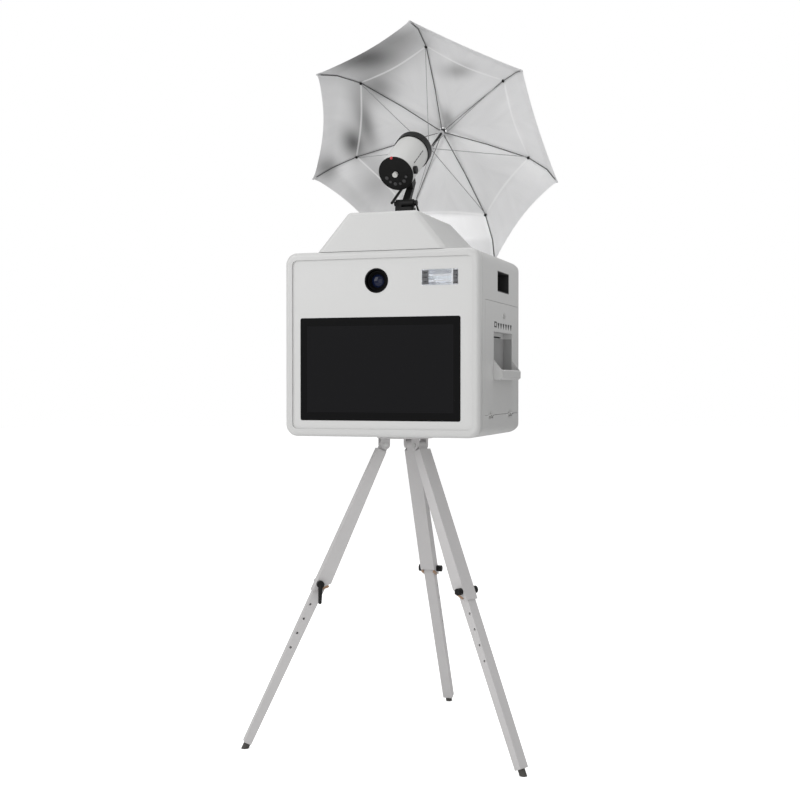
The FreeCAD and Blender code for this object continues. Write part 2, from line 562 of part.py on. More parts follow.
hood = hood_block(0, 0, HOOD_R).cut(hood_block(HOOD_WALL, 5, HOOD_R - HOOD_WALL))
spigot_bolts = [rod((x, y, HOOD_TOP - 10), (0, 0, 1), 2.0 + TOUCH_GAP, 20)
                for x in (-26, 26) for y in (-26, 26)]
hood = cut(hood, *spigot_bolts)
add("hood", hood)
plate = rod((0, 0, HOOD_TOP + TOUCH_GAP), (0, 0, 1), SPIGOT_PLATE_R, 4)
stud = rod((0, 0, HOOD_TOP + TOUCH_GAP), (0, 0, 1), SPIGOT_R, SPIGOT_TOP - HOOD_TOP)
bolts = [rod((x, y, HOOD_TOP - HOOD_WALL - 3), (0, 0, 1), 2.0, 3 + HOOD_WALL + 1)
         for x in (-26, 26) for y in (-26, 26)]
add("strobe_spigot", join(plate, stud, *bolts))

# ---- the stand ------------------------------------------------------------------------------------
LEAN = math.degrees(math.atan2(FOOT_CIRCLE_R - LEG_HINGE_R, LEG_HINGE_Z))
LEG_LENGTH = math.hypot(FOOT_CIRCLE_R - LEG_HINGE_R, LEG_HINGE_Z)


def on_leg(shape, azimuth):
    """Move a shape from the leg's own frame (hinge at zero, leg down -Z, outward +X) to its place."""
    copy = shape.copy()
    copy.rotate(V(0, 0, 0), V(0, 1, 0), -LEAN)
    copy.translate(V(LEG_HINGE_R, 0, LEG_HINGE_Z))
    copy.rotate(V(0, 0, 0), V(0, 0, 1), azimuth)
    return copy


head = rod((0, 0, CASE_BOTTOM - TOUCH_GAP - HEAD_T), (0, 0, 1), HEAD_R, HEAD_T)
head = head.makeFillet(3, [e for e in head.Edges if e.Curve.TypeId == "Part::GeomCircle"
                           and e.Vertexes[0].Z < CASE_BOTTOM - HEAD_T + 1])
pins = []
for name, azimuth, lever_turn in LEGS:
    for sign in (-1, 1):
        t0 = KNUCKLE_W / 2 + SLIDE_GAP if sign > 0 else -KNUCKLE_W / 2 - SLIDE_GAP - LUG_T
        lug = box(LEG_HINGE_R - LUG_R, LEG_HINGE_R + LUG_R, t0, t0 + LUG_T,
                  LEG_HINGE_Z, CASE_BOTTOM - HEAD_T + 1)
        lug = lug.fuse(rod((LEG_HINGE_R, t0, LEG_HINGE_Z), (0, 1, 0), LUG_R, LUG_T))
        lug = lug.cut(rod((LEG_HINGE_R, t0 - 1, LEG_HINGE_Z), (0, 1, 0), LEG_PIN_R, LUG_T + 2))
        lug.rotate(V(0, 0, 0), V(0, 0, 1), azimuth)
        head = head.fuse(lug)
    reach = KNUCKLE_W / 2 + SLIDE_GAP + LUG_T
    pin = rod((LEG_HINGE_R, -reach - 1, LEG_HINGE_Z), (0, 1, 0), LEG_PIN_R, 2 * reach + 2)
    caps = [rod((LEG_HINGE_R, y, LEG_HINGE_Z), (0, 1, 0), LEG_PIN_R + 2.5, 2.5)
            for y in (-reach - 2.6, reach + 0.1)]
    pin = join(pin, *caps)
    pin.rotate(V(0, 0, 0), V(0, 0, 1), azimuth)
    pins.append(pin)
head = head.cut(rod((0, 0, CASE_BOTTOM - 30), (0, 0, 1), 6.0 + TOUCH_GAP, 60))
add("tripod_head", head.removeSplitter())
screw = rod((0, 0, CASE_BOTTOM - HEAD_T - 2 * TOUCH_GAP - 3), (0, 0, 1), 16, 3)
screw = screw.fuse(rod((0, 0, CASE_BOTTOM - HEAD_T - 1), (0, 0, 1), 6, HEAD_T + 10))
screw = screw.cut(box(-20, 20, -1, 1, CASE_BOTTOM - HEAD_T - 6, CASE_BOTTOM - HEAD_T - 2))
add("screws_and_pins", screw.removeSplitter(), *pins, *screws)

for name, azimuth, lever_turn in LEGS:
    half = LEG_W / 2
    upper = prism([(-LEG_IN_TOP, -half, -LEG_SHOULDER), (LEG_OUT, -half, -LEG_SHOULDER),
                   (LEG_OUT, -half, -LEG_UPPER_OUT), (-LEG_IN_BOTTOM, -half, -LEG_UPPER_IN)], (0, LEG_W, 0))
    neck = box(-LEG_IN_TOP, LEG_OUT - 5, -KNUCKLE_W / 2, KNUCKLE_W / 2, -LEG_SHOULDER - 1, 0)
    knuckle = rod((0, -KNUCKLE_W / 2, 0), (0, 1, 0), LUG_R - 1, KNUCKLE_W)
    slope = (LEG_IN_BOTTOM - LEG_IN_TOP) / (LEG_UPPER_IN - LEG_SHOULDER)
    channel_end = LEG_UPPER_OUT + 10
    cover_top = -LEG_IN_TOP - slope * (CHANNEL_TOP - LEG_SHOULDER) + COVER_T
    cover_end = -LEG_IN_TOP - slope * (channel_end - LEG_SHOULDER) + COVER_T
    channel_y = LOWER_W / 2 + SLIDE_GAP
    channel = prism([(cover_top, -channel_y, -CHANNEL_TOP), (LEG_OUT - SPINE_T, -channel_y, -CHANNEL_TOP),
                     (LEG_OUT - SPINE_T, -channel_y, -channel_end), (cover_end, -channel_y, -channel_end)],
                    (0, 2 * channel_y, 0))
    pin_hole = rod((0, -40, 0), (0, 1, 0), LEG_PIN_R + RUN_FIT, 80)
    screw_hole = rod((CLAMP_U, 0, -CLAMP_AT), (0, 1, 0), CLAMP_BOLT_R + RUN_FIT, 40)
    nut = rod((CLAMP_U, -half - CLAMP_NUT_L, -CLAMP_AT), (0, 1, 0), CLAMP_NUT_R, CLAMP_NUT_L + 1)
    upper = join(upper.cut(channel), neck, knuckle)
    upper = cut(upper, pin_hole, screw_hole)
    add("leg_upper_" + name, on_leg(join(upper, nut), azimuth))

    # lower leg: straight outer face, tapered inner face, a row of index holes
    outer = LEG_OUT - SPINE_T - SLIDE_GAP
    end = LEG_LENGTH - 20
    lower = prism([(outer, -LOWER_W / 2, -LOWER_TOP), (outer, -LOWER_W / 2, -end),
                   (outer - LOWER_DEPTH_FOOT, -LOWER_W / 2, -end),
                   (outer - LOWER_DEPTH_MID, -LOWER_W / 2, -LEG_UPPER_IN),
                   (outer - LOWER_DEPTH_TOP, -LOWER_W / 2, -LOWER_TOP)], (0, LOWER_W, 0))
    for i in range(HOLE_COUNT):
        at = CLAMP_AT + HOLE_FIRST + i * HOLE_PITCH
        lower = lower.cut(rod((CLAMP_U, -40, -at), (0, 1, 0), HOLE_R, 80))
    add("leg_lower_" + name, on_leg(lower, azimuth))
    foot = rod((0, 0, -end - TOUCH_GAP), (0, 0, -1), FOOT_R, FOOT_LENGTH)
    foot = on_leg(foot, azimuth).cut(box(-900, 900, -900, 900, -200, 0))
    add("foot_" + name, foot)

    # clamp screw with its lever, pressing on the lower leg through one cheek
    tip = LOWER_W / 2 + SLIDE_GAP
    face = half + SLIDE_GAP
    lever = rod((0, tip, 0), (0, 1, 0), CLAMP_BOLT_R, face - tip + 1)
    lever = lever.fuse(rod((0, face, 0), (0, 1, 0), CLAMP_HUB_R, CLAMP_HUB_L))
    arm = Part.makeCone(7.5, 5.5, CLAMP_ARM, V(0, face + CLAMP_HUB_L - 6, 0), V(0, 0.16, -1))
    arm_end = Part.makeSphere(5.6, V(0, face + CLAMP_HUB_L - 6 + 0.158 * CLAMP_ARM, -0.987 * CLAMP_ARM))
    lever = join(lever, arm, arm_end)
    lever.rotate(V(0, 0, 0), V(0, 1, 0), lever_turn)
    lever.translate(V(CLAMP_U, 0, -CLAMP_AT))
    add("clamp_lever_" + name, on_leg(lever, azimuth))

# ---- the strobe on its swivel ---------------------------------------------------------------------
EL = math.radians(SHAFT_EL)
AZ = math.radians(SHAFT_AZ)
ALONG = V(math.cos(EL) * math.sin(AZ), math.cos(EL) * math.cos(AZ), math.sin(EL))   # up the shaft
RIGHT = V(math.cos(AZ), -math.sin(AZ), 0)
ABOVE = RIGHT.cross(ALONG)                                                          # away from the booth
HUB = V(0, HUB_Y, HUB_Z)


def at_shaft(toward_handle, above=0.0, right=0.0):
    """A point given by its distance from the hub down the shaft, above it and to its right."""
    return HUB - ALONG * toward_handle + ABOVE * above + RIGHT * right


def along_rod(toward_handle, above, radius, length):
    """A cylinder parallel to the shaft, starting at one distance and running toward the hub."""
    return Part.makeCylinder(radius, length, at_shaft(toward_handle, above), ALONG)


block = box(BLOCK_X0, BLOCK_X1, -BLOCK_Y, BLOCK_Y, BLOCK_Z0, BLOCK_Z1)
block = block.makeFillet(6, [e for e in block.Edges if abs(e.Vertexes[0].Z - e.Vertexes[1].Z) > 20])
lug = box(BLOCK_X0, ARM_X0 - SLIDE_GAP, -LUG_TOP_R, LUG_TOP_R, BLOCK_Z1 - 1, PIVOT_Z)
lug = lug.fuse(rod((BLOCK_X0, 0, PIVOT_Z), (1, 0, 0), LUG_TOP_R, ARM_X0 - SLIDE_GAP - BLOCK_X0))
block = join(block, lug)
pivot = rod((BLOCK_X0 - 3, 0, PIVOT_Z), (1, 0, 0), PIVOT_R, ARM_X1 - BLOCK_X0 + 3 + 0.5)
pivot = pivot.fuse(rod((BLOCK_X0 - 6, 0, PIVOT_Z), (1, 0, 0), 8, 5))
bore = rod((0, 0, BLOCK_Z0 - 1), (0, 0, 1), SPIGOT_R + RUN_FIT, SPIGOT_TOP - BLOCK_Z0 + 1.5)
knob = rod((BLOCK_X0 - 18, 0, BLOCK_Z0 + 12), (1, 0, 0), 3.0, 20)
knob = knob.fuse(rod((BLOCK_X0 - 26, 0, BLOCK_Z0 + 12), (1, 0, 0), 9, 14))
add("swivel_base", cut(join(block, pivot, knob), bore))

# the arm: a round eye on the pivot, a leaning web, and a cradle under the strobe's right side
eye = rod((ARM_X0, 0, PIVOT_Z), (1, 0, 0), LUG_TOP_R, ARM_X1 - ARM_X0)
cradle = [at_shaft(t, above) for t, above in ((CRADLE_FRONT, 4), (CRADLE_FRONT, CRADLE_TOP),
                                              (CRADLE_REAR, CRADLE_TOP), (CRADLE_REAR, 4))]
web = prism([(ARM_X0, -LUG_TOP_R, PIVOT_Z), (ARM_X0, LUG_TOP_R, PIVOT_Z)]
            + [(ARM_X0, p.y, p.z) for p in cradle], (WEB_X1 - ARM_X0, 0, 0))
holder = Part.makeBox(HOLDER_RIGHT - HOLDER_LEFT, HOLDER_TOP - HOLDER_BOTTOM, CRADLE_REAR - CRADLE_FRONT)
holder = placed(holder, FreeCAD.Matrix(
    RIGHT.x, ABOVE.x, ALONG.x, 0,
    RIGHT.y, ABOVE.y, ALONG.y, 0,
    RIGHT.z, ABOVE.z, ALONG.z, 0,
    0, 0, 0, 1))
holder.translate(at_shaft(CRADLE_REAR, HOLDER_BOTTOM, HOLDER_LEFT))
arm = cut(join(eye, web, holder),
          along_rod(STROBE_REAR + 20, STROBE_OFFSET, STROBE_R + TOUCH_GAP, 400),
          along_rod(STROBE_REAR + 20, STROBE_OFFSET, PANEL_DISC_R + SLIDE_GAP, 20),
          along_rod(SHAFT_END + 40, 0, SHAFT_R + RUN_FIT, 300),
          rod((ARM_X0 - 1, 0, PIVOT_Z), (1, 0, 0), PIVOT_R + RUN_FIT, ARM_X1 - ARM_X0 + 2))
arm = max(arm.Solids, key=lambda solid: solid.Volume)
add("tilt_arm", arm)

lever = rod((ARM_X1 + SLIDE_GAP + 0.5, 0, PIVOT_Z), (1, 0, 0), 9, 10)
handle = prism([(ARM_X1 + 5, -3.5, PIVOT_Z), (ARM_X1 + 9, -3.5, PIVOT_Z),
                (ARM_X1 + 19, -3.5, PIVOT_Z - 30), (ARM_X1 + 12, -3.5, PIVOT_Z - 48),
                (ARM_X1 + 7, -3.5, PIVOT_Z - 47), (ARM_X1 + 13, -3.5, PIVOT_Z - 30)], (0, 7, 0))
add("tilt_lever", join(lever, handle))

body = along_rod(STROBE_REAR, STROBE_OFFSET, STROBE_R, STROBE_REAR - STROBE_FRONT)
hollow = along_rod(STROBE_REAR + 1, STROBE_OFFSET, STROBE_R - STROBE_WALL, STROBE_REAR - STROBE_FRONT + 2)
body = body.cut(hollow)
body_ring = along_rod(STROBE_FRONT + 60, STROBE_OFFSET, STROBE_R - STROBE_WALL + 1, 4)
body = join(body, body_ring)
add("strobe_body", body)
rear_disc = along_rod(STROBE_REAR + PANEL_DISC_T + TOUCH_GAP, STROBE_OFFSET, PANEL_DISC_R, PANEL_DISC_T)
disc_edge = [e for e in rear_disc.Edges if e.Curve.TypeId == "Part::GeomCircle"]
rear_disc = rear_disc.makeFillet(2.0, disc_edge)
dial_hole = along_rod(STROBE_REAR + 30, STROBE_OFFSET, 3.0 + RUN_FIT, 60)
collar = along_rod(STROBE_FRONT - TOUCH_GAP, STROBE_OFFSET, COLLAR_R, COLLAR_L)
collar = cut(collar,
             along_rod(STROBE_FRONT + 1, STROBE_OFFSET, STROBE_R - 4, COLLAR_L + 4),
             along_rod(SHAFT_END, 0, SHAFT_R + SLIDE_GAP, SHAFT_END))
side_knob = Part.makeCylinder(SIDE_KNOB_R, SIDE_KNOB_L,
                              at_shaft(STROBE_REAR - SIDE_KNOB_R - 3, STROBE_OFFSET, STROBE_R - 2), RIGHT)
side_knob = side_knob.makeFillet(2.0, [e for e in side_knob.Edges if e.Curve.TypeId == "Part::GeomCircle"])
side_knob = side_knob.cut(along_rod(STROBE_REAR + 20, STROBE_OFFSET, STROBE_R + TOUCH_GAP, 400))
add("strobe_trim", rear_disc.cut(dial_hole), collar, side_knob)
dial = along_rod(STROBE_REAR + PANEL_DISC_T + 0.4 + DIAL_L, STROBE_OFFSET, DIAL_R, DIAL_L)
dial = dial.fuse(along_rod(STROBE_REAR + PANEL_DISC_T + 1, STROBE_OFFSET, 3.0, 8))
notch_at = at_shaft(STROBE_REAR + PANEL_DISC_T + DIAL_L + 2, STROBE_OFFSET)
notch = Part.makeBox(1.6, 12, 3, V(-0.8, 0, 0))
notch.rotate(V(0, 0, 0), V(1, 0, 0), 90 + SHAFT_EL)
notch.rotate(V(0, 0, 0), V(0, 0, 1), -SHAFT_AZ)
notch.translate(notch_at)
add("power_dial", dial.cut(notch).removeSplitter())

# flash bulb and its glass dome on a plate inside the strobe's mouth
socket_plate = along_rod(STROBE_FRONT + 56 - TOUCH_GAP, STROBE_OFFSET, STROBE_R - STROBE_WALL - 1, 3)
dome = along_rod(STROBE_FRONT + 53, STROBE_OFFSET, 30, 24)
dome = dome.fuse(Part.makeSphere(30, at_shaft(STROBE_FRONT + 29, STROBE_OFFSET)))
dome = dome.cut(along_rod(STROBE_FRONT + 130, STROBE_OFFSET, 60, 130 - 53))
add("strobe_lamp", join(socket_plate, dome))

# ---- the umbrella ---------------------------------------------------------------------------------
shaft = along_rod(SHAFT_END, 0, SHAFT_R, SHAFT_END + HUB_L / 2)
hub = along_rod(RIB_PIVOT_A + HUB_L / 2, 0, HUB_R, HUB_L)
cap = Part.makeCone(HUB_R, 4, 18, at_shaft(RIB_PIVOT_A - HUB_L / 2), ALONG)
collar_stop = along_rod(RUNNER_A - RUNNER_L / 2 - 0.3, 0, SHAFT_R + 2, 6)


def rib_frame(index):
    """The sideways direction and the outward direction of one rib."""
    angle = math.radians(RIB_PHASE - 360.0 / RIB_COUNT * index)
    out = RIGHT * math.cos(angle) + ABOVE * math.sin(angle)
    return out, out.cross(ALONG)


def bar(points, out, across, thickness, depth, shift=0.0):
    """A flat bar along (distance toward the handle, radius) points in one rib's plane."""
    pieces = []
    for (a0, r0), (a1, r1) in zip(points, points[1:]):
        start = HUB - ALONG * a0 + out * r0 + across * shift
        end = HUB - ALONG * a1 + out * r1 + across * shift
        run = end - start
        length = run.Length
        run.normalize()
        lift = run.cross(across)
        corner = start - across * (thickness / 2) - lift * (depth / 2)
        outline = [corner, corner + across * thickness, corner + across * thickness + lift * depth,
                   corner + lift * depth]
        pieces.append(prism([(p.x, p.y, p.z) for p in outline], (run.x * length, run.y * length, run.z * length)))
        pieces.append(Part.makeCylinder(depth / 2, thickness, end - across * (thickness / 2), across))
    return join(pieces[0], *pieces[1:])


rib_line = [(RIB_PIVOT_A, RIB_PIVOT_R), (RING_A * 0.42, RING_R * 0.5), (RING_A, RING_R),
            (RING_A + 55, RING_R + 79), (TIP_A, TIP_R)]
hub_body = join(hub, shaft, cap, collar_stop)
runner = along_rod(RUNNER_A + RUNNER_L / 2, 0, RUNNER_R, RUNNER_L)
for i in range(RIB_COUNT):
    out, across = rib_frame(i)
    hub_at = at_shaft(RIB_PIVOT_A) + out * RIB_PIVOT_R
    eye = Part.makeCylinder(RIB_D / 2 + 0.9, RIB_T, hub_at - across * (RIB_T / 2), across)
    rib = join(bar(rib_line, out, across, RIB_T, RIB_D), eye)
    rib = rib.cut(Part.makeCylinder(0.9 + RUN_FIT, 20, hub_at - across * 10, across))
    ring_at = at_shaft(RING_A) + out * RING_R
    head_at = STRETCHER_SIDE + STRETCHER_T / 2 + 0.3
    stud = Part.makeCylinder(STUD_R, head_at + 0.5, ring_at, across)
    stud_head = Part.makeCylinder(EYE_R, 1.2, ring_at + across * head_at, across)
    add("rib_%d" % (i + 1), join(rib, stud, stud_head))
    slot = Part.makeCylinder(RIB_D / 2 + 2.2, RIB_T + 0.6, hub_at - across * (RIB_T / 2 + 0.3), across)
    hub_pin = Part.makeCylinder(0.9, RIB_T + 3.0, hub_at - across * (RIB_T / 2 + 1.5), across)
    ears = [Part.makeCylinder(2.6, 1.2, hub_at + across * s, across)
            for s in (-RIB_T / 2 - 1.6, RIB_T / 2 + 0.4)]
    tabs = [bar([(RIB_PIVOT_A, 3.0), (RIB_PIVOT_A, RIB_PIVOT_R)], out, across, 1.2, 5.2, s)
            for s in (-RIB_T / 2 - 1.0, RIB_T / 2 + 1.0)]
    hub_body = cut(hub_body, slot.cut(along_rod(SHAFT_END, 0, SHAFT_R + 0.5, SHAFT_END + 50)))
    hub_body = join(hub_body, hub_pin, *ears, *tabs)
    run_at = at_shaft(RUNNER_A) + out * RUNNER_PIVOT_R
    shift = STRETCHER_SIDE
    stretcher_line = [(RUNNER_A, RUNNER_PIVOT_R), (RING_A, RING_R)]
    rod_bar = bar(stretcher_line, out, across, STRETCHER_T, STRETCHER_D, shift)
    near_eye = Part.makeCylinder(STRETCHER_D / 2 + 0.8, STRETCHER_T,
                                 run_at + across * (shift - STRETCHER_T / 2), across)
    far_eye = Part.makeCylinder(EYE_R, STRETCHER_T, ring_at + across * (shift - STRETCHER_T / 2), across)
    rod_bar = join(rod_bar, near_eye, far_eye)
    rod_bar = cut(rod_bar,
                  Part.makeCylinder(0.9 + RUN_FIT, 20, run_at - across * 10, across),
                  Part.makeCylinder(EYE_HOLE_R, 20, ring_at - across * 10, across))
    add("stretcher_%d" % (i + 1), rod_bar)
    ear = bar([(RUNNER_A, 5.0), (RUNNER_A, RUNNER_PIVOT_R)], out, across, 1.2, 5.0,
              shift - STRETCHER_T / 2 - 0.9)
    run_pin = Part.makeCylinder(0.9, STRETCHER_T + 1.4, run_at + across * (shift - STRETCHER_T / 2 - 1.0), across)
    gap = Part.makeCylinder(STRETCHER_D / 2 + 1.6, STRETCHER_T + 0.6,
                            run_at + across * (shift - STRETCHER_T / 2 - 0.3), across)
    runner = join(runner.cut(gap), ear, run_pin)
add("umbrella_shaft", hub_body)
runner = runner.cut(along_rod(SHAFT_END, 0, SHAFT_R + RUN_FIT, SHAFT_END))
add("runner", runner)


def canopy_point(index, station, lift):
    """A point of the canopy: stations 0 hub, 1 half way, 2 inner ring, 3 bend, 4 tip. Half an index is mid-gore."""
    line = [(RIB_PIVOT_A - 11.0, HUB_R + 3), rib_line[1], rib_line[2], rib_line[3], rib_line[4]]
    a, r = line[station]
    angle = math.radians(RIB_PHASE - 360.0 / RIB_COUNT * index)
    mid_gore = abs(index - round(index)) > 0.1
    chord = math.cos(math.pi / RIB_COUNT)
    sag = (0.0, 0.3, 0.7, 0.8, 1.0)[station]
    if mid_gore and station:
        r = r * chord - sag * HEM_SAG * 0.35
        a = a - sag * SEAM_SAG * 0.6
    out = RIGHT * math.cos(angle) + ABOVE * math.sin(angle)
    return HUB - ALONG * (a - lift) + out * (r + lift * 0.4)


def canopy_skin(lift):
    """The canopy's surface as flat triangles, at a height above the ribs."""
    faces = []
    steps = 2 * RIB_COUNT
    for j in range(steps):
        for station in range(4):
            p = [canopy_point(j / 2, station, lift), canopy_point((j + 1) / 2, station, lift),
                 canopy_point((j + 1) / 2, station + 1, lift), canopy_point(j / 2, station + 1, lift)]
            faces.append((p[0], p[1], p[2]))
            faces.append((p[0], p[2], p[3]))
    return faces


triangles = canopy_skin(CANOPY_OUT)
triangles += canopy_skin(CANOPY_OUT + CANOPY_T)
for j in range(2 * RIB_COUNT):
    for station in (0, 4):
        p = [canopy_point(j / 2, station, CANOPY_OUT), canopy_point((j + 1) / 2, station, CANOPY_OUT),
             canopy_point((j + 1) / 2, station, CANOPY_OUT + CANOPY_T),
             canopy_point(j / 2, station, CANOPY_OUT + CANOPY_T)]
        triangles.append((p[0], p[1], p[2]))
        triangles.append((p[0], p[2], p[3]))
faces = [Part.Face(Part.makePolygon([a, b, c, a])) for a, b, c in triangles]
skin = Part.Solid(Part.makeShell(faces))
if skin.Volume < 0:
    skin.reverse()
add("canopy", skin)

# ---- centre the object and write it ----------------------------------------------------------------
whole = FreeCAD.BoundBox()
for shapes in SHAPES.values():
    for shape in shapes:
        whole.add(shape.optimalBoundingBox(False))
shift = V(-whole.Center.x, -whole.Center.y, -whole.ZMin)
os.makedirs("parts", exist_ok=True)
for name, shapes in SHAPES.items():
    moved = []
    for shape in shapes:
        copy = shape.copy()
        copy.translate(shift)
        moved.append(copy)
    result = moved[0] if len(moved) == 1 else Part.makeCompound(moved)
    result.exportStep("parts/" + name + ".step")
print("nodes", len(SHAPES))
print("shift", round(shift.x, 4), round(shift.y, 4), round(shift.z, 4))
print("size", round(whole.XLength, 2), round(whole.YLength, 2), round(whole.ZLength, 2))
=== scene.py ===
import json
import math

import bmesh
import bpy
from mathutils import Matrix, Vector


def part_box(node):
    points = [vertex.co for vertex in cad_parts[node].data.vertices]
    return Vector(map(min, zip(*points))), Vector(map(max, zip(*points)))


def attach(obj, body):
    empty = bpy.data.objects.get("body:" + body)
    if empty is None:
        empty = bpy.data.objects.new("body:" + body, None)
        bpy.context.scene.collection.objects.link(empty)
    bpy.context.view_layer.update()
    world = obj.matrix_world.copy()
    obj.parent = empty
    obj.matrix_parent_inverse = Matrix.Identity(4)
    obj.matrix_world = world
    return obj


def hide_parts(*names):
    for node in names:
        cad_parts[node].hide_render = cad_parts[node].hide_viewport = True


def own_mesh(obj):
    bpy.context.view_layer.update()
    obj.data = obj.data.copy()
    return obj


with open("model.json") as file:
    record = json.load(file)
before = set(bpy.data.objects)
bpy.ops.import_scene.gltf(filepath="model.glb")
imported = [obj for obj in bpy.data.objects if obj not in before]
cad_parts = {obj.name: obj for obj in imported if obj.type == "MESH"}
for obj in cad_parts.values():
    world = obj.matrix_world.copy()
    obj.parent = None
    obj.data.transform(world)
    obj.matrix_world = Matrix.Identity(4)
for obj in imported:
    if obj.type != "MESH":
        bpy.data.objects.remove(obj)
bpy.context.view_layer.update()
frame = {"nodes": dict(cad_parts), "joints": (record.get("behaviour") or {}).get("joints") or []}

bl_info = {
    "name": "Photo booth with strobe umbrella",
    "version": (1, 0, 0),
    "blender": (4, 5, 0),
    "location": "View3D > Sidebar > Booth",
    "description": "Finishes the photo booth's parts and adds its cloth, glass and small fittings",
    "category": "Object",
}

NODES = frame["nodes"]
JOINTS = {j["name"]: j for j in frame["joints"]}
LEG_NAMES = ("rear", "left", "right")
RIB_TOTAL = 7

STAND_X, STAND_Y = JOINTS["strobe_pan"]["pos_m"][:2]
ALONG = Vector(JOINTS["umbrella_slide"]["axis"]).normalized()
RIB_PIVOTS = [Vector(JOINTS["rib_hinge_%d" % (i + 1)]["pos_m"]) for i in range(RIB_TOTAL)]
PIVOT_MIDDLE = sum(RIB_PIVOTS, Vector()) / RIB_TOTAL
RIB_PIVOT_A = 0.008
HUB = PIVOT_MIDDLE + ALONG * RIB_PIVOT_A
RIB_OUT = [(p - PIVOT_MIDDLE).normalized() for p in RIB_PIVOTS]
RIGHT = Vector((ALONG.y, -ALONG.x, 0)).normalized()
ABOVE = RIGHT.cross(ALONG)
STROBE_AXIS = Vector(JOINTS["dial_turn"]["pos_m"])


# ---- settings ----
class BoothCaseSettings(bpy.types.PropertyGroup):
    shell_color: bpy.props.FloatVectorProperty(
        name="Case paint", description="Paint of the case, hood, door and rear panel",
        subtype="COLOR", size=3, min=0.0, max=1.0, default=(0.56, 0.56, 0.555))
    panel_color: bpy.props.FloatVectorProperty(
        name="Front paint", description="Paint of the front panel inside the rim",
        subtype="COLOR", size=3, min=0.0, max=1.0, default=(0.59, 0.59, 0.585))
    screen_color: bpy.props.FloatVectorProperty(
        name="Screen glass", description="Dark colour of the touch screen",
        subtype="COLOR", size=3, min=0.0, max=1.0, default=(0.0022, 0.0022, 0.0025))
    lit_width: bpy.props.FloatProperty(
        name="Picture width", description="Width of the picture area behind the glass",
        unit="LENGTH", default=0.476)
    lit_height: bpy.props.FloatProperty(
        name="Picture height", description="Height of the picture area behind the glass",
        unit="LENGTH", default=0.268)


class BoothLightSettings(bpy.types.PropertyGroup):
    cloth_color: bpy.props.FloatVectorProperty(
        name="Cloth inside", description="Silver satin on the umbrella's inner side",
        subtype="COLOR", size=3, min=0.0, max=1.0, default=(0.88, 0.88, 0.885))
    cloth_back: bpy.props.FloatVectorProperty(
        name="Cloth outside", description="Dark cover on the umbrella's outer side",
        subtype="COLOR", size=3, min=0.0, max=1.0, default=(0.018, 0.018, 0.019))
    cloth_height: bpy.props.FloatProperty(
        name="Cloth height", description="Distance of the cloth from the ribs' centre line",
        unit="LENGTH", default=0.0040)
    cloth_thickness: bpy.props.FloatProperty(
        name="Cloth thickness", description="Thickness of the umbrella's cloth",
        unit="LENGTH", default=0.0006)
    seam_dip: bpy.props.FloatProperty(
        name="Seam dip", description="How far the ring seam bows toward the hub between two ribs",
        unit="LENGTH", default=0.009)
    hem_dip: bpy.props.FloatProperty(
        name="Hem dip", description="How far the hem curves in between two rib tips",
        unit="LENGTH", default=0.034)
    gore_sag: bpy.props.FloatProperty(
        name="Gore sag", description="How far the taut cloth sinks between two ribs",
        unit="LENGTH", default=0.010)
    corner_share: bpy.props.FloatProperty(
        name="Corner rounding", description="Share of half a gore over which the hem rounds a rib tip",
        default=0.10, min=0.01, max=1.0)
    fold_keep: bpy.props.FloatProperty(
        name="Fold width",
        description="Share of its width a gore keeps when the ribs are let in. It is exact only at the ring",
        default=0.952, min=0.1, max=1.0)


class BoothStandSettings(bpy.types.PropertyGroup):
    paint_color: bpy.props.FloatVectorProperty(
        name="Leg paint", description="Off-white paint of the legs",
        subtype="COLOR", size=3, min=0.0, max=1.0, default=(0.52, 0.51, 0.51))
    wood_color: bpy.props.FloatVectorProperty(
        name="Bare wood", description="Stained wood at the upper legs' ends",
        subtype="COLOR", size=3, min=0.0, max=1.0, default=(0.22, 0.13, 0.075))


# ---- modelling helpers ----
def clear_selection():
    if bpy.context.object and bpy.context.object.mode != "OBJECT":
        bpy.ops.object.mode_set(mode="OBJECT")
    bpy.ops.object.select_all(action="DESELECT")


def name_active(name):
    piece = bpy.context.object
    piece.name = name
    piece.data.name = name
    return piece


def activate(piece):
    """Select one piece alone and make it the active one."""
    clear_selection()
    piece.select_set(True)
    bpy.context.view_layer.objects.active = piece


def apply_place(piece):
    activate(piece)
    bpy.ops.object.transform_apply(location=True, rotation=True, scale=True)
    return piece


def add_block(name, low, high):
    """A box between two corners."""
    clear_selection()
    low, high = Vector(low), Vector(high)
    bpy.ops.mesh.primitive_cube_add(size=1.0, location=(low + high) / 2)
    piece = name_active(name)
    piece.scale = high - low
    return apply_place(piece)


def add_tube(name, start, direction, radius, length, sides=48):
    """A solid cylinder from a point along a direction."""
    clear_selection()
    direction = Vector(direction).normalized()
    start = Vector(start)
    bpy.ops.mesh.primitive_cylinder_add(vertices=sides, radius=radius, depth=length)
    piece = name_active(name)
    turn = direction.to_track_quat("Z", "Y").to_matrix().to_4x4()
    piece.matrix_world = Matrix.Translation(start + direction * length / 2) @ turn
    return apply_place(piece)


def modify(piece, kind, **values):
    """Add a modifier with its values and apply it."""
    activate(piece)
    modifier = piece.modifiers.new(kind.title(), kind)
    for key, value in values.items():
        setattr(modifier, key, value)
    bpy.ops.object.modifier_apply(modifier=modifier.name)
    return piece


def soften(piece, width, segments=3):
    """Round the piece's sharp edges."""
    modify(piece, "BEVEL", width=width, segments=segments, limit_method="ANGLE",
           angle_limit=math.radians(30), harden_normals=False)
    shade(piece)
    return piece


def shade(piece, angle=35):
    activate(piece)
    bpy.ops.object.shade_smooth_by_angle(angle=math.radians(angle))
    return piece


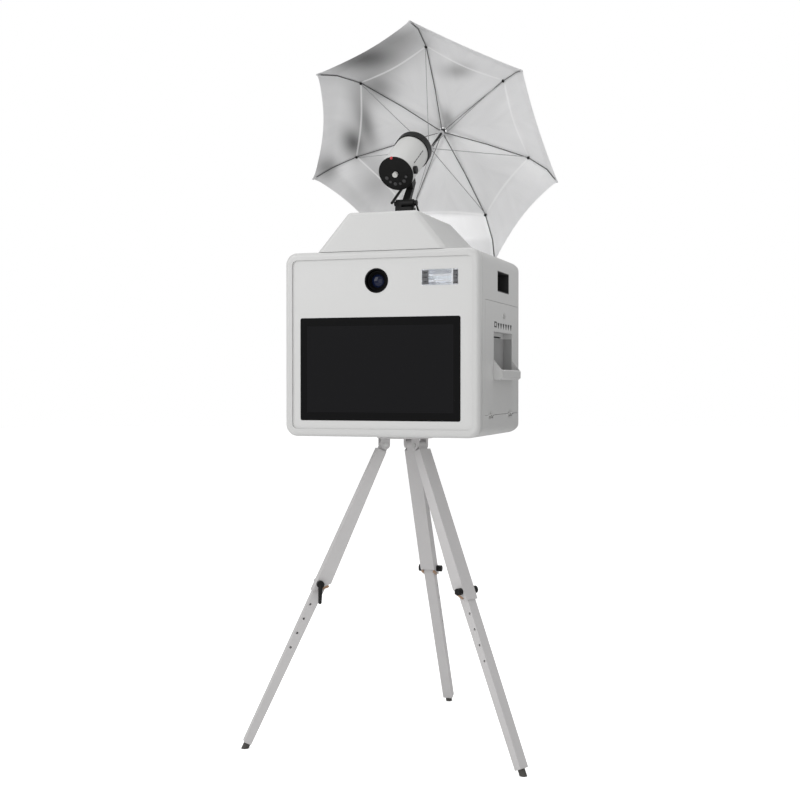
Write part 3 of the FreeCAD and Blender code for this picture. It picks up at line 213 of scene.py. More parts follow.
def edit_faces(piece, chosen, action):
    """Select the faces that a test picks and run an edit-mode action on them."""
    activate(piece)
    bpy.ops.object.mode_set(mode="EDIT")
    bpy.ops.mesh.select_mode(type="FACE")
    bpy.ops.mesh.select_all(action="DESELECT")
    mesh = bmesh.from_edit_mesh(piece.data)
    for face in mesh.faces:
        face.select_set(chosen(face))
    bmesh.update_edit_mesh(piece.data)
    action()
    bpy.ops.object.mode_set(mode="OBJECT")
    return piece


def join_pieces(name, pieces):
    clear_selection()
    for piece in pieces:
        piece.select_set(True)
    bpy.context.view_layer.objects.active = pieces[0]
    bpy.ops.object.join()
    piece = name_active(name)
    return apply_place(piece)


def place(piece, body, material):
    """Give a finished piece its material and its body."""
    if material is not None:
        piece.data.materials.clear()
        piece.data.materials.append(material)
    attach(piece, body)
    return piece


def paint_nodes(material, *names):
    for name in names:
        node = NODES[name]
        if not node.data.materials:
            node.data.materials.append(material)
        for index in range(len(node.data.materials)):
            node.data.materials[index] = material


# ---- shader groups and materials ----
CREASE_STRETCH = (26.0, 5.0, 1.0)
WOOD_STRETCH = (60.0, 60.0, 300.0)
RIB_SEAM_HALF = 0.0045      # half width of the seam along a rib
RING_SEAM_HALF = 0.0035
HEM_WIDTH = 0.008


def new_group(name, inputs, outputs):
    group = bpy.data.node_groups.new(name, "ShaderNodeTree")
    for label, kind, default in inputs:
        socket = group.interface.new_socket(name=label, in_out="INPUT", socket_type=kind)
        socket.default_value = default
    for label, kind in outputs:
        group.interface.new_socket(name=label, in_out="OUTPUT", socket_type=kind)
    start = group.nodes.new("NodeGroupInput")
    end = group.nodes.new("NodeGroupOutput")
    return group, start, end


def add_node(tree, kind, **values):
    node = tree.nodes.new(kind)
    for key, value in values.items():
        setattr(node, key, value)
    return node


def feed(tree, node, **sources):
    """Set a node's sockets by number (i0, i1...) to a value or to another socket."""
    for key, value in sources.items():
        socket = node.inputs[int(key[1:])]
        if isinstance(value, bpy.types.NodeSocket):
            tree.links.new(value, socket)
        else:
            socket.default_value = value
    return node


def calc(tree, operation, first, second=0.5, third=0.5, clamp=False):
    node = add_node(tree, "ShaderNodeMath", operation=operation, use_clamp=clamp)
    feed(tree, node, i0=first, i1=second, i2=third)
    return node.outputs[0]


def noise_of(tree, vector, scale, detail=3.0, rough=0.55):
    node = add_node(tree, "ShaderNodeTexNoise")
    tree.links.new(vector, node.inputs["Vector"])
    if isinstance(scale, bpy.types.NodeSocket):
        tree.links.new(scale, node.inputs["Scale"])
    else:
        node.inputs["Scale"].default_value = scale
    node.inputs["Detail"].default_value = detail
    node.inputs["Roughness"].default_value = rough
    return node.outputs["Fac"]


def object_place(tree):
    return add_node(tree, "ShaderNodeTexCoord").outputs["Object"]


def blend_color(tree, amount, first, second, kind="MIX"):
    node = add_node(tree, "ShaderNodeMix", data_type="RGBA", blend_type=kind)
    feed(tree, node, i0=amount, i6=first, i7=second)
    return node.outputs[2]


def scale_color(tree, color, amount):
    node = add_node(tree, "ShaderNodeVectorMath", operation="SCALE")
    tree.links.new(color, node.inputs[0])
    tree.links.new(amount, node.inputs["Scale"])
    return node.outputs[0]


def stretch_place(tree, where, amounts):
    """Stretch a texture's coordinates by fixed amounts or by another socket."""
    node = add_node(tree, "ShaderNodeVectorMath", operation="MULTIPLY")
    feed(tree, node, i0=where, i1=amounts)
    return node.outputs[0]


def swing(tree, noise, amount):
    """A noise from 0 to 1 as a change of up to half an amount each way."""
    return calc(tree, "MULTIPLY", calc(tree, "SUBTRACT", noise, 0.5), amount)


def ramp(tree, value, gain, base, clamp=False):
    return calc(tree, "ADD", calc(tree, "MULTIPLY", value, gain), base, clamp=clamp)


def dress(tree, shader, color, roughness):
    """Join a shader's colour and roughness."""
    tree.links.new(color, shader.inputs["Base Color"])
    tree.links.new(roughness, shader.inputs["Roughness"])


def make_skin_group():
    """Painted or moulded skin: fine grain, slow tint changes and rubbed patches."""
    group, start, end = new_group(
        "Moulded skin",
        [("Color", "NodeSocketColor", (0.8, 0.8, 0.8, 1)), ("Grain scale", "NodeSocketFloat", 900.0),
         ("Tint change", "NodeSocketFloat", 0.06), ("Roughness", "NodeSocketFloat", 0.4),
         ("Rubbed", "NodeSocketFloat", 0.08)],
        [("Color", "NodeSocketColor"), ("Roughness", "NodeSocketFloat"), ("Height", "NodeSocketFloat")])
    where = object_place(group)
    grain = noise_of(group, where, start.outputs["Grain scale"], 2.0)
    slow = noise_of(group, where, 5.0, 4.0)
    rub = noise_of(group, where, 38.0, 6.0, 0.65)
    shift = swing(group, slow, start.outputs["Tint change"])
    speck = swing(group, grain, 0.05)
    bright = calc(group, "ADD", calc(group, "ADD", shift, speck), 1.0)
    group.links.new(scale_color(group, start.outputs["Color"], bright), end.inputs["Color"])
    rubbed = swing(group, rub, start.outputs["Rubbed"])
    rough = calc(group, "ADD", calc(group, "ADD", start.outputs["Roughness"], rubbed),
                 calc(group, "MULTIPLY", shift, -0.5), clamp=True)
    group.links.new(rough, end.inputs["Roughness"])
    group.links.new(grain, end.inputs["Height"])
    return group


def make_brushed_group():
    """Drawn or brushed metal: streaks along one axis."""
    group, start, end = new_group(
        "Brushed metal",
        [("Color", "NodeSocketColor", (0.6, 0.6, 0.6, 1)), ("Stretch", "NodeSocketVector", (40, 900, 900)),
         ("Roughness", "NodeSocketFloat", 0.3)],
        [("Color", "NodeSocketColor"), ("Roughness", "NodeSocketFloat"), ("Height", "NodeSocketFloat")])
    where = object_place(group)
    streak = noise_of(group, stretch_place(group, where, start.outputs["Stretch"]), 1.0, 2.0)
    bright = calc(group, "ADD", swing(group, streak, 0.25), 1.0)
    group.links.new(scale_color(group, start.outputs["Color"], bright), end.inputs["Color"])
    rough = calc(group, "ADD", start.outputs["Roughness"], calc(group, "MULTIPLY", streak, 0.2), clamp=True)
    group.links.new(rough, end.inputs["Roughness"])
    group.links.new(streak, end.inputs["Height"])
    return group


def make_weave_group():
    """Fine plain weave and soft creases, laid along a piece's own UV map in metres; the creases' ridges are
    painted lighter and their hollows darker (painted light and shade).
    """
    group, start, end = new_group(
        "Cloth weave",
        [("Color", "NodeSocketColor", (0.7, 0.7, 0.7, 1)), ("Threads", "NodeSocketFloat", 1400.0),
         ("Crease", "NodeSocketFloat", 0.5)],
        [("Color", "NodeSocketColor"), ("Mask", "NodeSocketFloat"), ("Height", "NodeSocketFloat")])
    uv = add_node(group, "ShaderNodeUVMap", uv_map="Cloth").outputs["UV"]
    waves = []
    for direction in ("X", "Y"):
        wave = add_node(group, "ShaderNodeTexWave", bands_direction=direction)
        group.links.new(uv, wave.inputs["Vector"])
        group.links.new(start.outputs["Threads"], wave.inputs["Scale"])
        waves.append(wave.outputs["Fac"])
    threads = calc(group, "MULTIPLY", waves[0], waves[1])
    crease = noise_of(group, stretch_place(group, uv, CREASE_STRETCH), 1.0, 3.0)
    height = calc(group, "ADD", calc(group, "MULTIPLY", threads, 0.12),
                  calc(group, "MULTIPLY", crease, start.outputs["Crease"]))
    # painted light and shade: the creases' ridges lighter and their hollows darker, with the threads' own
    # pattern
    bright = calc(group, "ADD", swing(group, crease, 0.12), ramp(group, threads, 0.05, 0.975))
    group.links.new(scale_color(group, start.outputs["Color"], bright), end.inputs["Color"])
    group.links.new(crease, end.inputs["Mask"])
    group.links.new(height, end.inputs["Height"])
    return group


def new_material(name, **constants):
    """A material with a Principled shader whose constant sockets are set directly."""
    material = bpy.data.materials.new(name)
    material.use_nodes = True
    tree = material.node_tree
    shader = tree.nodes["Principled BSDF"]
    for label, value in constants.items():
        shader.inputs[label.replace("_", " ")].default_value = value
    return material, tree, shader


def add_bump(tree, shader, height, strength, distance):
    bump = add_node(tree, "ShaderNodeBump")
    bump.inputs["Strength"].default_value = strength
    bump.inputs["Distance"].default_value = distance
    tree.links.new(height, bump.inputs["Height"])
    tree.links.new(bump.outputs["Normal"], shader.inputs["Normal"])


def group_node(tree, group_name, **values):
    node = add_node(tree, "ShaderNodeGroup")
    node.node_tree = bpy.data.node_groups[group_name]
    for label, value in values.items():
        node.inputs[label.replace("_", " ")].default_value = value
    return node


def skin_material(name, color, roughness, grain=900.0, tint=0.06, rubbed=0.08, bump=0.06, depth=0.0003,
                  **constants):
    material, tree, shader = new_material(name, **constants)
    skin = group_node(tree, "Moulded skin", Color=(*color, 1), Grain_scale=grain, Tint_change=tint,
                      Roughness=roughness, Rubbed=rubbed)
    dress(tree, shader, skin.outputs["Color"], skin.outputs["Roughness"])
    add_bump(tree, shader, skin.outputs["Height"], bump, depth)
    return material


def metal_material(name, color, roughness, stretch, bump=0.05):
    material, tree, shader = new_material(name, Metallic=1.0)
    drawn = group_node(tree, "Brushed metal", Color=(*color, 1), Stretch=stretch, Roughness=roughness)
    dress(tree, shader, drawn.outputs["Color"], drawn.outputs["Roughness"])
    add_bump(tree, shader, drawn.outputs["Height"], bump, 0.0002)
    return material


def screen_material(settings):
    """Dark glass whose picture area is a shade lighter than its printed border."""
    material, tree, shader = new_material("Touch screen glass", IOR=1.5, Specular_IOR_Level=0.16)
    where = add_node(tree, "ShaderNodeSeparateXYZ")
    tree.links.new(object_place(tree), where.inputs[0])
    low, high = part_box("screen_glass")
    middle = (low + high) / 2
    inside = []
    for axis, size in (("X", settings.lit_width), ("Z", settings.lit_height)):
        offset = calc(tree, "ABSOLUTE", calc(tree, "SUBTRACT", where.outputs[axis],
                                             middle["XYZ".index(axis)]))
        inside.append(calc(tree, "LESS_THAN", offset, size / 2))
    picture = calc(tree, "MULTIPLY", inside[0], inside[1])
    border = (*settings.screen_color, 1)
    lit = (*[c * 2.6 for c in settings.screen_color], 1)
    smudge = noise_of(tree, object_place(tree), 14.0, 5.0, 0.7)
    dress(tree, shader, blend_color(tree, picture, border, lit), ramp(tree, smudge, 0.10, 0.04))
    return material


def cloth_material(name, color, metallic, roughness, crease, sheen, ring_highlight):
    """Satin cloth with sewn seams along the rib, the ring and the hem, darkened by the painted shadows and
    with a painted highlight along the ring seam.
    """
    material, tree, shader = new_material(name, Metallic=metallic, Sheen_Weight=sheen)
    weave = group_node(tree, "Cloth weave", Color=(*color, 1), Crease=crease)
    uv = add_node(tree, "ShaderNodeUVMap", uv_map="Cloth")
    split = add_node(tree, "ShaderNodeSeparateXYZ")
    tree.links.new(uv.outputs["UV"], split.inputs[0])
    seam = calc(tree, "LESS_THAN", calc(tree, "ABSOLUTE", split.outputs["X"]), RIB_SEAM_HALF)
    marks = add_node(tree, "ShaderNodeUVMap", uv_map="Seams")
    split_marks = add_node(tree, "ShaderNodeSeparateXYZ")
    tree.links.new(marks.outputs["UV"], split_marks.inputs[0])
    ring = calc(tree, "LESS_THAN", calc(tree, "ABSOLUTE", split_marks.outputs["X"]), RING_SEAM_HALF)
    hem = calc(tree, "LESS_THAN", split_marks.outputs["Y"], HEM_WIDTH)
    sewn = calc(tree, "MAXIMUM", calc(tree, "MAXIMUM", seam, ring), hem)
    # painted shade: the cloth's colour is darkened by the painted shadows stored on the gore
    shaded = add_node(tree, "ShaderNodeAttribute", attribute_name="Shade").outputs["Fac"]
    painted_shade = scale_color(tree, weave.outputs["Color"], shaded)
    # painted highlight: the ring seam is painted lighter, toward white, by this share
    painted_ring_highlight = calc(tree, "MULTIPLY", ring, ring_highlight)
    rough = ramp(tree, weave.outputs["Mask"], 0.18, ramp(tree, sewn, 0.2, roughness), clamp=True)
    dress(tree, shader, blend_color(tree, painted_ring_highlight, painted_shade, (1.0, 1.0, 1.0, 1)), rough)
    height = calc(tree, "ADD", weave.outputs["Height"], calc(tree, "MULTIPLY", sewn, 0.35))
    add_bump(tree, shader, height, 0.35, 0.0015)
    return material


def wood_material(settings):
    """Stained wood with grain rings and pores."""
    material, tree, shader = new_material("Stained wood ends", Coat_Weight=0.2, Coat_Roughness=0.3)
    rings = noise_of(tree, stretch_place(tree, object_place(tree), WOOD_STRETCH), 1.0, 4.0, 0.6)
    pores = noise_of(tree, object_place(tree), 1500.0, 2.0)
    light = (*[min(1, c * 2.2) for c in settings.wood_color], 1)
    color = blend_color(tree, rings, (*settings.wood_color, 1), light)
    dress(tree, shader, color, ramp(tree, pores, 0.3, 0.35))
    add_bump(tree, shader, calc(tree, "ADD", rings, pores), 0.2, 0.0005)
    return material


def glass_material(name, tint, roughness, bump_scale):
    material, tree, shader = new_material(name, Transmission_Weight=1.0, IOR=1.46)
    ripple = noise_of(tree, object_place(tree), bump_scale, 3.0)
    shade_of = blend_color(tree, ripple, (*tint, 1), (*[min(1.0, c * 1.04) for c in tint], 1))
    dress(tree, shader, shade_of, ramp(tree, ripple, 0.05, roughness))
    add_bump(tree, shader, ripple, 0.02, 0.0005)
    return material


# ---- the case ----
CASE_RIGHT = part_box("body_shell")[1].x
TRAY_CHEEK = 0.003
# the grey sheets set by these numbers are painted shade inside the outlet's pan
SHADE_SHEET_BACK = 0.0288    # back of the painted shade sheets from the case's right face
SHADE_SHEET_GAP = 0.0005
SHADE_SHEET_T = 0.0008
SHADE_SHEET_SHY = 0.0012     # how far the side sheets end behind the case's right face
SHADE_SHEET_FOOT = 0.0256    # from the tray's underside
SHADE_SHEET_HEIGHT = 0.1090
SIGN_WIDTH = 0.232
SIGN_HEIGHT = 0.018
SIGN_ARROWS = 6
SIGN_RAISE = 0.0008
SIGN_DROP = -0.022      # middle of the sign from the lock's lowest point
SIGN_LINE_SHARE = 0.22    # line width as a share of the sign's height
SIGN_FRAME_SHARE = 1.5     # frame width likewise
ARROW_SHARE = 1.3         # an arrow's radius as a share of half the height


class BOOTH_OT_case(bpy.types.Operator):
    """Paint the case, hood, door, tray and the closed-in parts behind them"""
    bl_idname = "booth.case"
    bl_label = "Case finish"

    def execute(self, context):
        look = context.scene.booth_case
        shell = skin_material("Outer satin paint", look.shell_color, 0.42, 700.0, 0.05, 0.08, 0.08)
        paint_nodes(shell, "body_shell", "hood", "rear_panel", "side_door", "catch_tray")
        rim = skin_material("Rim satin paint", look.shell_color, 0.36, 700.0, 0.04, 0.06, 0.06)
        paint_nodes(rim, "front_frame")
        panel = skin_material("Front panel paint", look.panel_color, 0.45, 800.0, 0.04, 0.08, 0.07)
        paint_nodes(panel, "front_panel")
        dark = skin_material("Dark moulded plastic", (0.012, 0.012, 0.013), 0.5, 1400.0, 0.3, 0.15, 0.25)
        paint_nodes(dark, "display_module", "grip_cups", "power_inlet", "mini_pc", "printer", "camera_body")
        steel = metal_material("Zinc plated steel", (0.58, 0.58, 0.57), 0.28, (300, 300, 40))
        paint_nodes(steel, "shelf", "screws_and_pins", "door_hinges", "door_lock", "strobe_spigot")
        self.add_outlet_painted_shade()
        self.add_outlet_sign()
        return {"FINISHED"}

    def add_outlet_painted_shade(self):
        """Grey sheets on the back and the sides of the print outlet's pan, a painted shade for its hollow."""
        tray_low, tray_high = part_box("catch_tray")
        back = CASE_RIGHT - SHADE_SHEET_BACK
        y0 = tray_low.y + TRAY_CHEEK + SHADE_SHEET_GAP
        y1 = tray_high.y - TRAY_CHEEK - SHADE_SHEET_GAP
        z0 = tray_low.z + SHADE_SHEET_FOOT
        z1 = z0 + SHADE_SHEET_HEIGHT
        front = CASE_RIGHT - SHADE_SHEET_SHY
        sheets = [add_block("lining_back", (back, y0, z0), (back + SHADE_SHEET_T, y1, z1))]
        for low_y in (y0, y1 - SHADE_SHEET_T):
            sheets.append(add_block("lining_side", (back + SHADE_SHEET_T, low_y, z0),
                                    (front, low_y + SHADE_SHEET_T, z1)))
        sheet = join_pieces("outlet_lining", sheets)
        modify(sheet, "BEVEL", width=0.0003, segments=1)
        shade(sheet)
        # painted shade: grey sheets that darken the inside of the outlet's pan
        grey = skin_material("Outlet painted shade grey", (0.30, 0.30, 0.30), 0.55, 900.0, 0.08, 0.1, 0.1)
        place(sheet, "door", grey)

    def add_outlet_sign(self):
        """A plain printed row over the outlet: a picture frame, then arrows that point to it."""
        tray_low, tray_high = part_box("catch_tray")
        lock_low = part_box("door_lock")[0]
        face = CASE_RIGHT
        middle = (tray_low.y + tray_high.y) / 2
        z = lock_low.z + SIGN_DROP
        line = SIGN_HEIGHT * SIGN_LINE_SHARE
        half = SIGN_HEIGHT / 2
        start = middle - SIGN_WIDTH / 2
        end = start + SIGN_HEIGHT * SIGN_FRAME_SHARE
        sign = []
        low, high = z - half, z + half
        bars = ((start, end, low, low + line), (start, end, high - line, high),
                (start, start + line, low, high), (end - line, end, low, high))
        for y0, y1, z0, z1 in bars:
            sign.append(add_block("sign_bar", (face, y0, z0), (face + SIGN_RAISE, y1, z1)))
        for k in range(SIGN_ARROWS):
            clear_selection()
            bpy.ops.mesh.primitive_cylinder_add(vertices=3, radius=half * ARROW_SHARE, depth=SIGN_RAISE)
            arrow = name_active("sign_arrow")
            y = end + (middle + SIGN_WIDTH / 2 - end) * (k + 1) / SIGN_ARROWS - half
            turn = Matrix.Rotation(math.pi / 2, 4, "Y") @ Matrix.Rotation(-math.pi / 2, 4, "Z")
            arrow.matrix_world = Matrix.Translation((face + SIGN_RAISE / 2, y, z)) @ turn
            sign.append(apply_place(arrow))
        ink = skin_material("Sign ink", (0.03, 0.03, 0.032), 0.5, 1500.0)
        place(join_pieces("outlet_sign", sign), "door", ink)


class BOOTH_OT_screen(bpy.types.Operator):
    """Make the touch screen's glass"""
    bl_idname = "booth.screen"
    bl_label = "Touch screen"

    def execute(self, context):
        paint_nodes(screen_material(context.scene.booth_case), "screen_glass")
        return {"FINISHED"}


LENS_SET_BACK = 0.009     # the barrel's front behind the front panel's face
# radius, depth, width
LENS_RINGS = ((0.0275, 0.0005, 0.0012), (0.0245, 0.003, 0.001), (0.0215, 0.0055, 0.001))
GLASS_RADIUS = 0.034
GLASS_CENTRE = 0.0345     # behind the barrel's front
GLASS_CUT = 0.0085        # the glass is cut off this far behind the barrel's front


class BOOTH_OT_lens(bpy.types.Operator):
    """Finish the camera lens: barrel, grip ring and curved front glass"""
    bl_idname = "booth.lens"
    bl_label = "Camera lens"

    def execute(self, context):
        black = skin_material("Lens barrel black", (0.003, 0.003, 0.0034), 0.5, 1600.0, 0.2, 0.1, 0.12,
                              Specular_IOR_Level=0.08)
        paint_nodes(black, "camera_lens")
        low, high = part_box("camera_lens")
        middle = (low + high) / 2
        front_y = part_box("front_panel")[0].y + LENS_SET_BACK
        rings = []
        for radius, depth, width in LENS_RINGS:
            clear_selection()
            bpy.ops.mesh.primitive_torus_add(major_radius=radius, minor_radius=width, major_segments=64,
                                             minor_segments=8, location=(middle.x, front_y + depth, middle.z),
                                             rotation=(math.pi / 2, 0, 0))
            rings.append(apply_place(name_active("lens_ring_step")))
        step = join_pieces("lens_inner_rings", rings)
        shade(step)
        place(step, "booth", black)
        clear_selection()
        bpy.ops.mesh.primitive_uv_sphere_add(segments=48, ring_count=24, radius=GLASS_RADIUS)
        glass = name_active("lens_front_glass")
        glass.matrix_world = (Matrix.Translation((middle.x, front_y + GLASS_CENTRE, middle.z))
                              @ Matrix.Rotation(math.pi / 2, 4, "X"))
        apply_place(glass)
        activate(glass)
        bpy.ops.object.mode_set(mode="EDIT")
        bpy.ops.mesh.select_all(action="SELECT")
        bpy.ops.mesh.bisect(plane_co=(0, front_y + GLASS_CUT, 0), plane_no=(0, 1, 0), use_fill=True,
                            clear_outer=True)
        bpy.ops.object.mode_set(mode="OBJECT")
        shade(glass, 50)
        coat, tree, shader = new_material("Coated lens glass", IOR=1.45, Specular_IOR_Level=0.22,
                                          Coat_Weight=0.15, Coat_Roughness=0.02)
        glow = noise_of(tree, object_place(tree), 30.0, 2.0)
        tint = blend_color(tree, glow, (0.002, 0.004, 0.016, 1), (0.010, 0.016, 0.05, 1))
        dress(tree, shader, tint, ramp(tree, glow, 0.05, 0.02))
        place(glass, "booth", coat)
        return {"FINISHED"}


# places on the flash are shares of its window's width and height
FLASH_ENDS = (("left", 0.012, 0.19), ("right", 0.86, 0.985))
FLASH_MARGIN = 0.06
FLASH_END_DEPTH = 0.0012
FLASH_STUDS = [(x, z) for x in (0.88, 0.945) for z in (0.14, 0.42, 0.62, 0.86)]
STUD_SIZE = 0.0026
FLASH_SLOTS = (0.22, 0.5, 0.78)
SLOT_SPAN = (0.05, 0.15)
SLOT_HALF = 0.002


class BOOTH_OT_flash(bpy.types.Operator):
    """Finish the front flash: clear cover, ribbed reflector, tube and grey end blocks"""
    bl_idname = "booth.flash"
    bl_label = "Front flash"

    def execute(self, context):
        paint_nodes(glass_material("Clear flash cover", (0.97, 0.98, 1.0), 0.02, 90.0), "flash_window")
        paint_nodes(glass_material("Flash tube glass", (0.93, 0.96, 1.0), 0.05, 200.0), "flash_tube")
        bright = metal_material("Bright reflector", (0.80, 0.81, 0.83), 0.12, (60, 900, 2200), 0.2)
        paint_nodes(bright, "flash_reflector")
        low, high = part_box("flash_window")
        grey = skin_material("Flash end plastic", (0.16, 0.16, 0.17), 0.45, 1200.0, 0.2, 0.1, 0.15)
        dark = skin_material("Flash end dark", (0.03, 0.03, 0.032), 0.4, 1200.0, 0.2, 0.1, 0.15)
        width = high.x - low.x
        height = high.z - low.z
        depth = FLASH_END_DEPTH
        face = high.y + 0.0002
        blocks = []
        for side, x0, x1 in FLASH_ENDS:
            block = add_block("flash_end_" + side, (low.x + width * x0, face, low.z + height * FLASH_MARGIN),
                              (low.x + width * x1, face + depth - 0.0003, high.z - height * FLASH_MARGIN))
            blocks.append(soften(block, 0.0002, 1))
        place(join_pieces("flash_end_blocks", blocks), "booth", grey)
        bars = []
        front = face - 0.0001
        for x, z in FLASH_STUDS:
            bars.append(add_tube("flash_end_stud", (low.x + width * x, front, low.z + height * z),
                                 (0, 1, 0), STUD_SIZE, depth - 0.0004, 16))
        x0, x1 = [low.x + width * share for share in SLOT_SPAN]
        for share in FLASH_SLOTS:
            # the slots are dark bars on the grey end block: painted shade of the openings
            z = low.z + height * share
            bars.append(add_block("flash_end_slot", (x0, front, z - SLOT_HALF),
                                  (x1, face + depth - 0.0005, z + SLOT_HALF)))
        place(join_pieces("flash_end_details", bars), "booth", dark)
        return {"FINISHED"}


# ---- strobe ----
PANEL_FACE = -0.4921      # rear disc's face from the hub, along the shaft
TUBE_RADIUS = 0.0585
VENT_TURN = math.radians(17)
VENT_TOTAL = 5
VENT_START = 0.046
VENT_PITCH = 0.020
VENT_SINK = 0.0006
BUTTON_TOTAL = 6
BUTTON_FIRST = 200        # degrees round the disc
BUTTON_STEP = 28
BUTTON_CIRCLE = 0.036
BUTTON_RADII = (0.006, 0.0045)
LAMP_ABOVE = 0.0565
LAMP_LEFT = 0.002


class BOOTH_OT_strobe(bpy.types.Operator):
    """Finish the strobe: painted tube, vents, rear buttons, ready lamp and swivel"""
    bl_idname = "booth.strobe"
    bl_label = "Roof strobe"

    def execute(self, context):
        white = skin_material("Strobe enamel", (0.62, 0.62, 0.61), 0.33, 1100.0, 0.04, 0.06, 0.05)
        paint_nodes(white, "strobe_body")
        black = skin_material("Strobe black plastic", (0.006, 0.006, 0.006), 0.42, 1300.0, 0.25, 0.12, 0.2,
                              Specular_IOR_Level=0.2)
        paint_nodes(black, "strobe_trim")
        cast = skin_material("Black cast bracket", (0.006, 0.006, 0.006), 0.45, 800.0, 0.25, 0.12, 0.3,
                             Specular_IOR_Level=0.2)
        paint_nodes(cast, "swivel_base", "tilt_arm", "tilt_lever")
        knob = skin_material("Dial plastic", (0.60, 0.60, 0.58), 0.4, 1300.0)
        paint_nodes(knob, "power_dial")
        paint_nodes(glass_material("Frosted dome", (0.95, 0.95, 0.92), 0.45, 500.0), "strobe_lamp")
        self.add_vents(black)
        self.add_rear_fittings(black)
        return {"FINISHED"}

    def add_vents(self, black):
        """A short row of cooling slots on the tube's right side, drawn as black rods: their darkness is
        painted shade of the openings.
        """
        out = RIGHT * math.cos(VENT_TURN) + ABOVE * math.sin(VENT_TURN)
        slots = []
        for k in range(VENT_TOTAL):
            start = STROBE_AXIS + ALONG * (VENT_START + VENT_PITCH * k) + out * (TUBE_RADIUS - VENT_SINK)
            slots.append(add_tube("vent", start, ALONG, 0.0015, 0.016, 12))
        vents = join_pieces("strobe_vents", slots)
        shade(vents)
        place(vents, "strobe", black)

    def add_rear_fittings(self, black):
        """Buttons and the ready lamp on the rear disc."""
        rear = STROBE_AXIS + ALONG * (PANEL_FACE - (STROBE_AXIS - HUB).dot(ALONG))
        fittings = []
        grey = skin_material("Button plastic", (0.05, 0.05, 0.052), 0.5, 1500.0)
        for k in range(BUTTON_TOTAL):
            turn = math.radians(BUTTON_FIRST + BUTTON_STEP * k)
            place_at = rear + RIGHT * math.cos(turn) * BUTTON_CIRCLE + ABOVE * math.sin(turn) * BUTTON_CIRCLE
            button = add_tube("button", place_at, -ALONG, BUTTON_RADII[k % 2], 0.0022, 24)
            fittings.append(soften(button, 0.0005, 2))
        place(join_pieces("strobe_buttons", fittings), "strobe", grey)
        top = rear + ABOVE * LAMP_ABOVE - RIGHT * LAMP_LEFT
        lamp = add_tube("ready_lamp", top + ALONG * 0.003, -ALONG, 0.0045, 0.007, 24)
        soften(lamp, 0.0012, 3)
        glow, tree, shader = new_material("Ready lamp", Coat_Weight=0.6)
        spots = noise_of(tree, object_place(tree), 900.0)
        red = blend_color(tree, spots, (0.35, 0.01, 0.015, 1), (0.75, 0.05, 0.06, 1))
        dress(tree, shader, red, ramp(tree, spots, 0.1, 0.2))
        place(lamp, "strobe", glow)


# ---- umbrella ----
RIB_LINE = [(-0.003, 0.012), (0.0252, 0.166), (0.060, 0.332), (0.115, 0.411), (0.188, 0.463)]
RING_STATION = 2
CORNER_CUT = 0.006      # how much the hem falls short of the line between two tips
STEPS_ACROSS = 24
STEPS_ALONG = 40
TANGENT_STEP = 0.02
RING_REACH = 0.14       # how far from the ring seam its pull is felt, as a share of the rib
RING_PULL = 0.25
RIB_RUN = (0.035, 0.166)    # a rib's run toward the handle and outward where it meets the ring
TIP_SLEEVE = (0.014, 0.0026, 0.015)     # start behind the tip, radius, length
TIP_BALL = (0.001, 0.0034)              # middle ahead of the tip, radius
HUB_COVER = (0.0190, 0.0125, 0.0030)    # start from the hub, radius, length
RING_STUD = (0.0016, 0.0048, 0.0034)    # start off the rib's line, radius, length
# Painted shadows on the silver cloth, dark patches which stay whatever the light or pose:
# right of the hub, above the hub, half width, half height, depth.
CLOTH_SHADOWS = (
    (-0.04, 0.39, 0.09, 0.06, 0.45),
    (-0.17, 0.33, 0.12, 0.07, 0.80),
    (-0.322, 0.01, 0.035, 0.065, 0.80),
    (-0.42, -0.05, 0.03, 0.05, 0.55),
    (-0.19, 0.20, 0.07, 0.06, 0.55),
    (-0.262, 0.08, 0.032, 0.11, 0.62),
    (0.12, 0.235, 0.06, 0.03, 0.42),
    (0.03, 0.05, 0.025, 0.04, 0.45),
    (-0.27, -0.15, 0.09, 0.08, 0.38),
)


def rib_curve(t):
    """(distance toward the handle, radius) along a rib's line, t from 0 at the hub to 1 at the tip."""
    lengths = [math.dist(p, q) for p, q in zip(RIB_LINE, RIB_LINE[1:])]
    reach = t * sum(lengths)
    for (p, q), length in zip(zip(RIB_LINE, RIB_LINE[1:]), lengths):
        if reach <= length or q == RIB_LINE[-1]:
            share = reach / length
            return Vector((p[0] + (q[0] - p[0]) * share, p[1] + (q[1] - p[1]) * share))
        reach -= length
    return Vector(RIB_LINE[-1])


def rib_length():
    return sum(math.dist(p, q) for p, q in zip(RIB_LINE, RIB_LINE[1:]))


def ring_share():
    inner = sum(math.dist(p, q) for p, q in zip(RIB_LINE[:RING_STATION], RIB_LINE[1:RING_STATION + 1]))
    return inner / rib_length()


def between_ribs(across):
    """0 on a rib, rising to 1 at mid-gore."""
    return 1 - (1 - abs(across)) ** 2


def hem_shortfall(look, across):
    """How much shorter than its rib the cloth is, from 0 on the rib to its most at mid-gore."""
    corner = min(1.0, abs(across) / look.corner_share)
    return look.hem_dip * between_ribs(across) + CORNER_CUT * corner


def gore_cut_width():
    """Width of a gore's flat pattern at the hem, between its two mid-gore lines."""
    return 2 * RIB_LINE[-1][1] * math.sin(math.pi / RIB_TOTAL)


def cloth_painted_shade(offset):
    """How much the painted shadows darken the cloth at a place given from the hub."""
    painted_shade = 1.0
    for right, above, half_width, half_height, depth in CLOTH_SHADOWS:
        x = (offset.dot(RIGHT) - right) / half_width
        z = (offset.dot(ABOVE) - above) / half_height
        painted_shade *= 1.0 - depth * math.exp(-(x ** 2 + z ** 2))
    return painted_shade


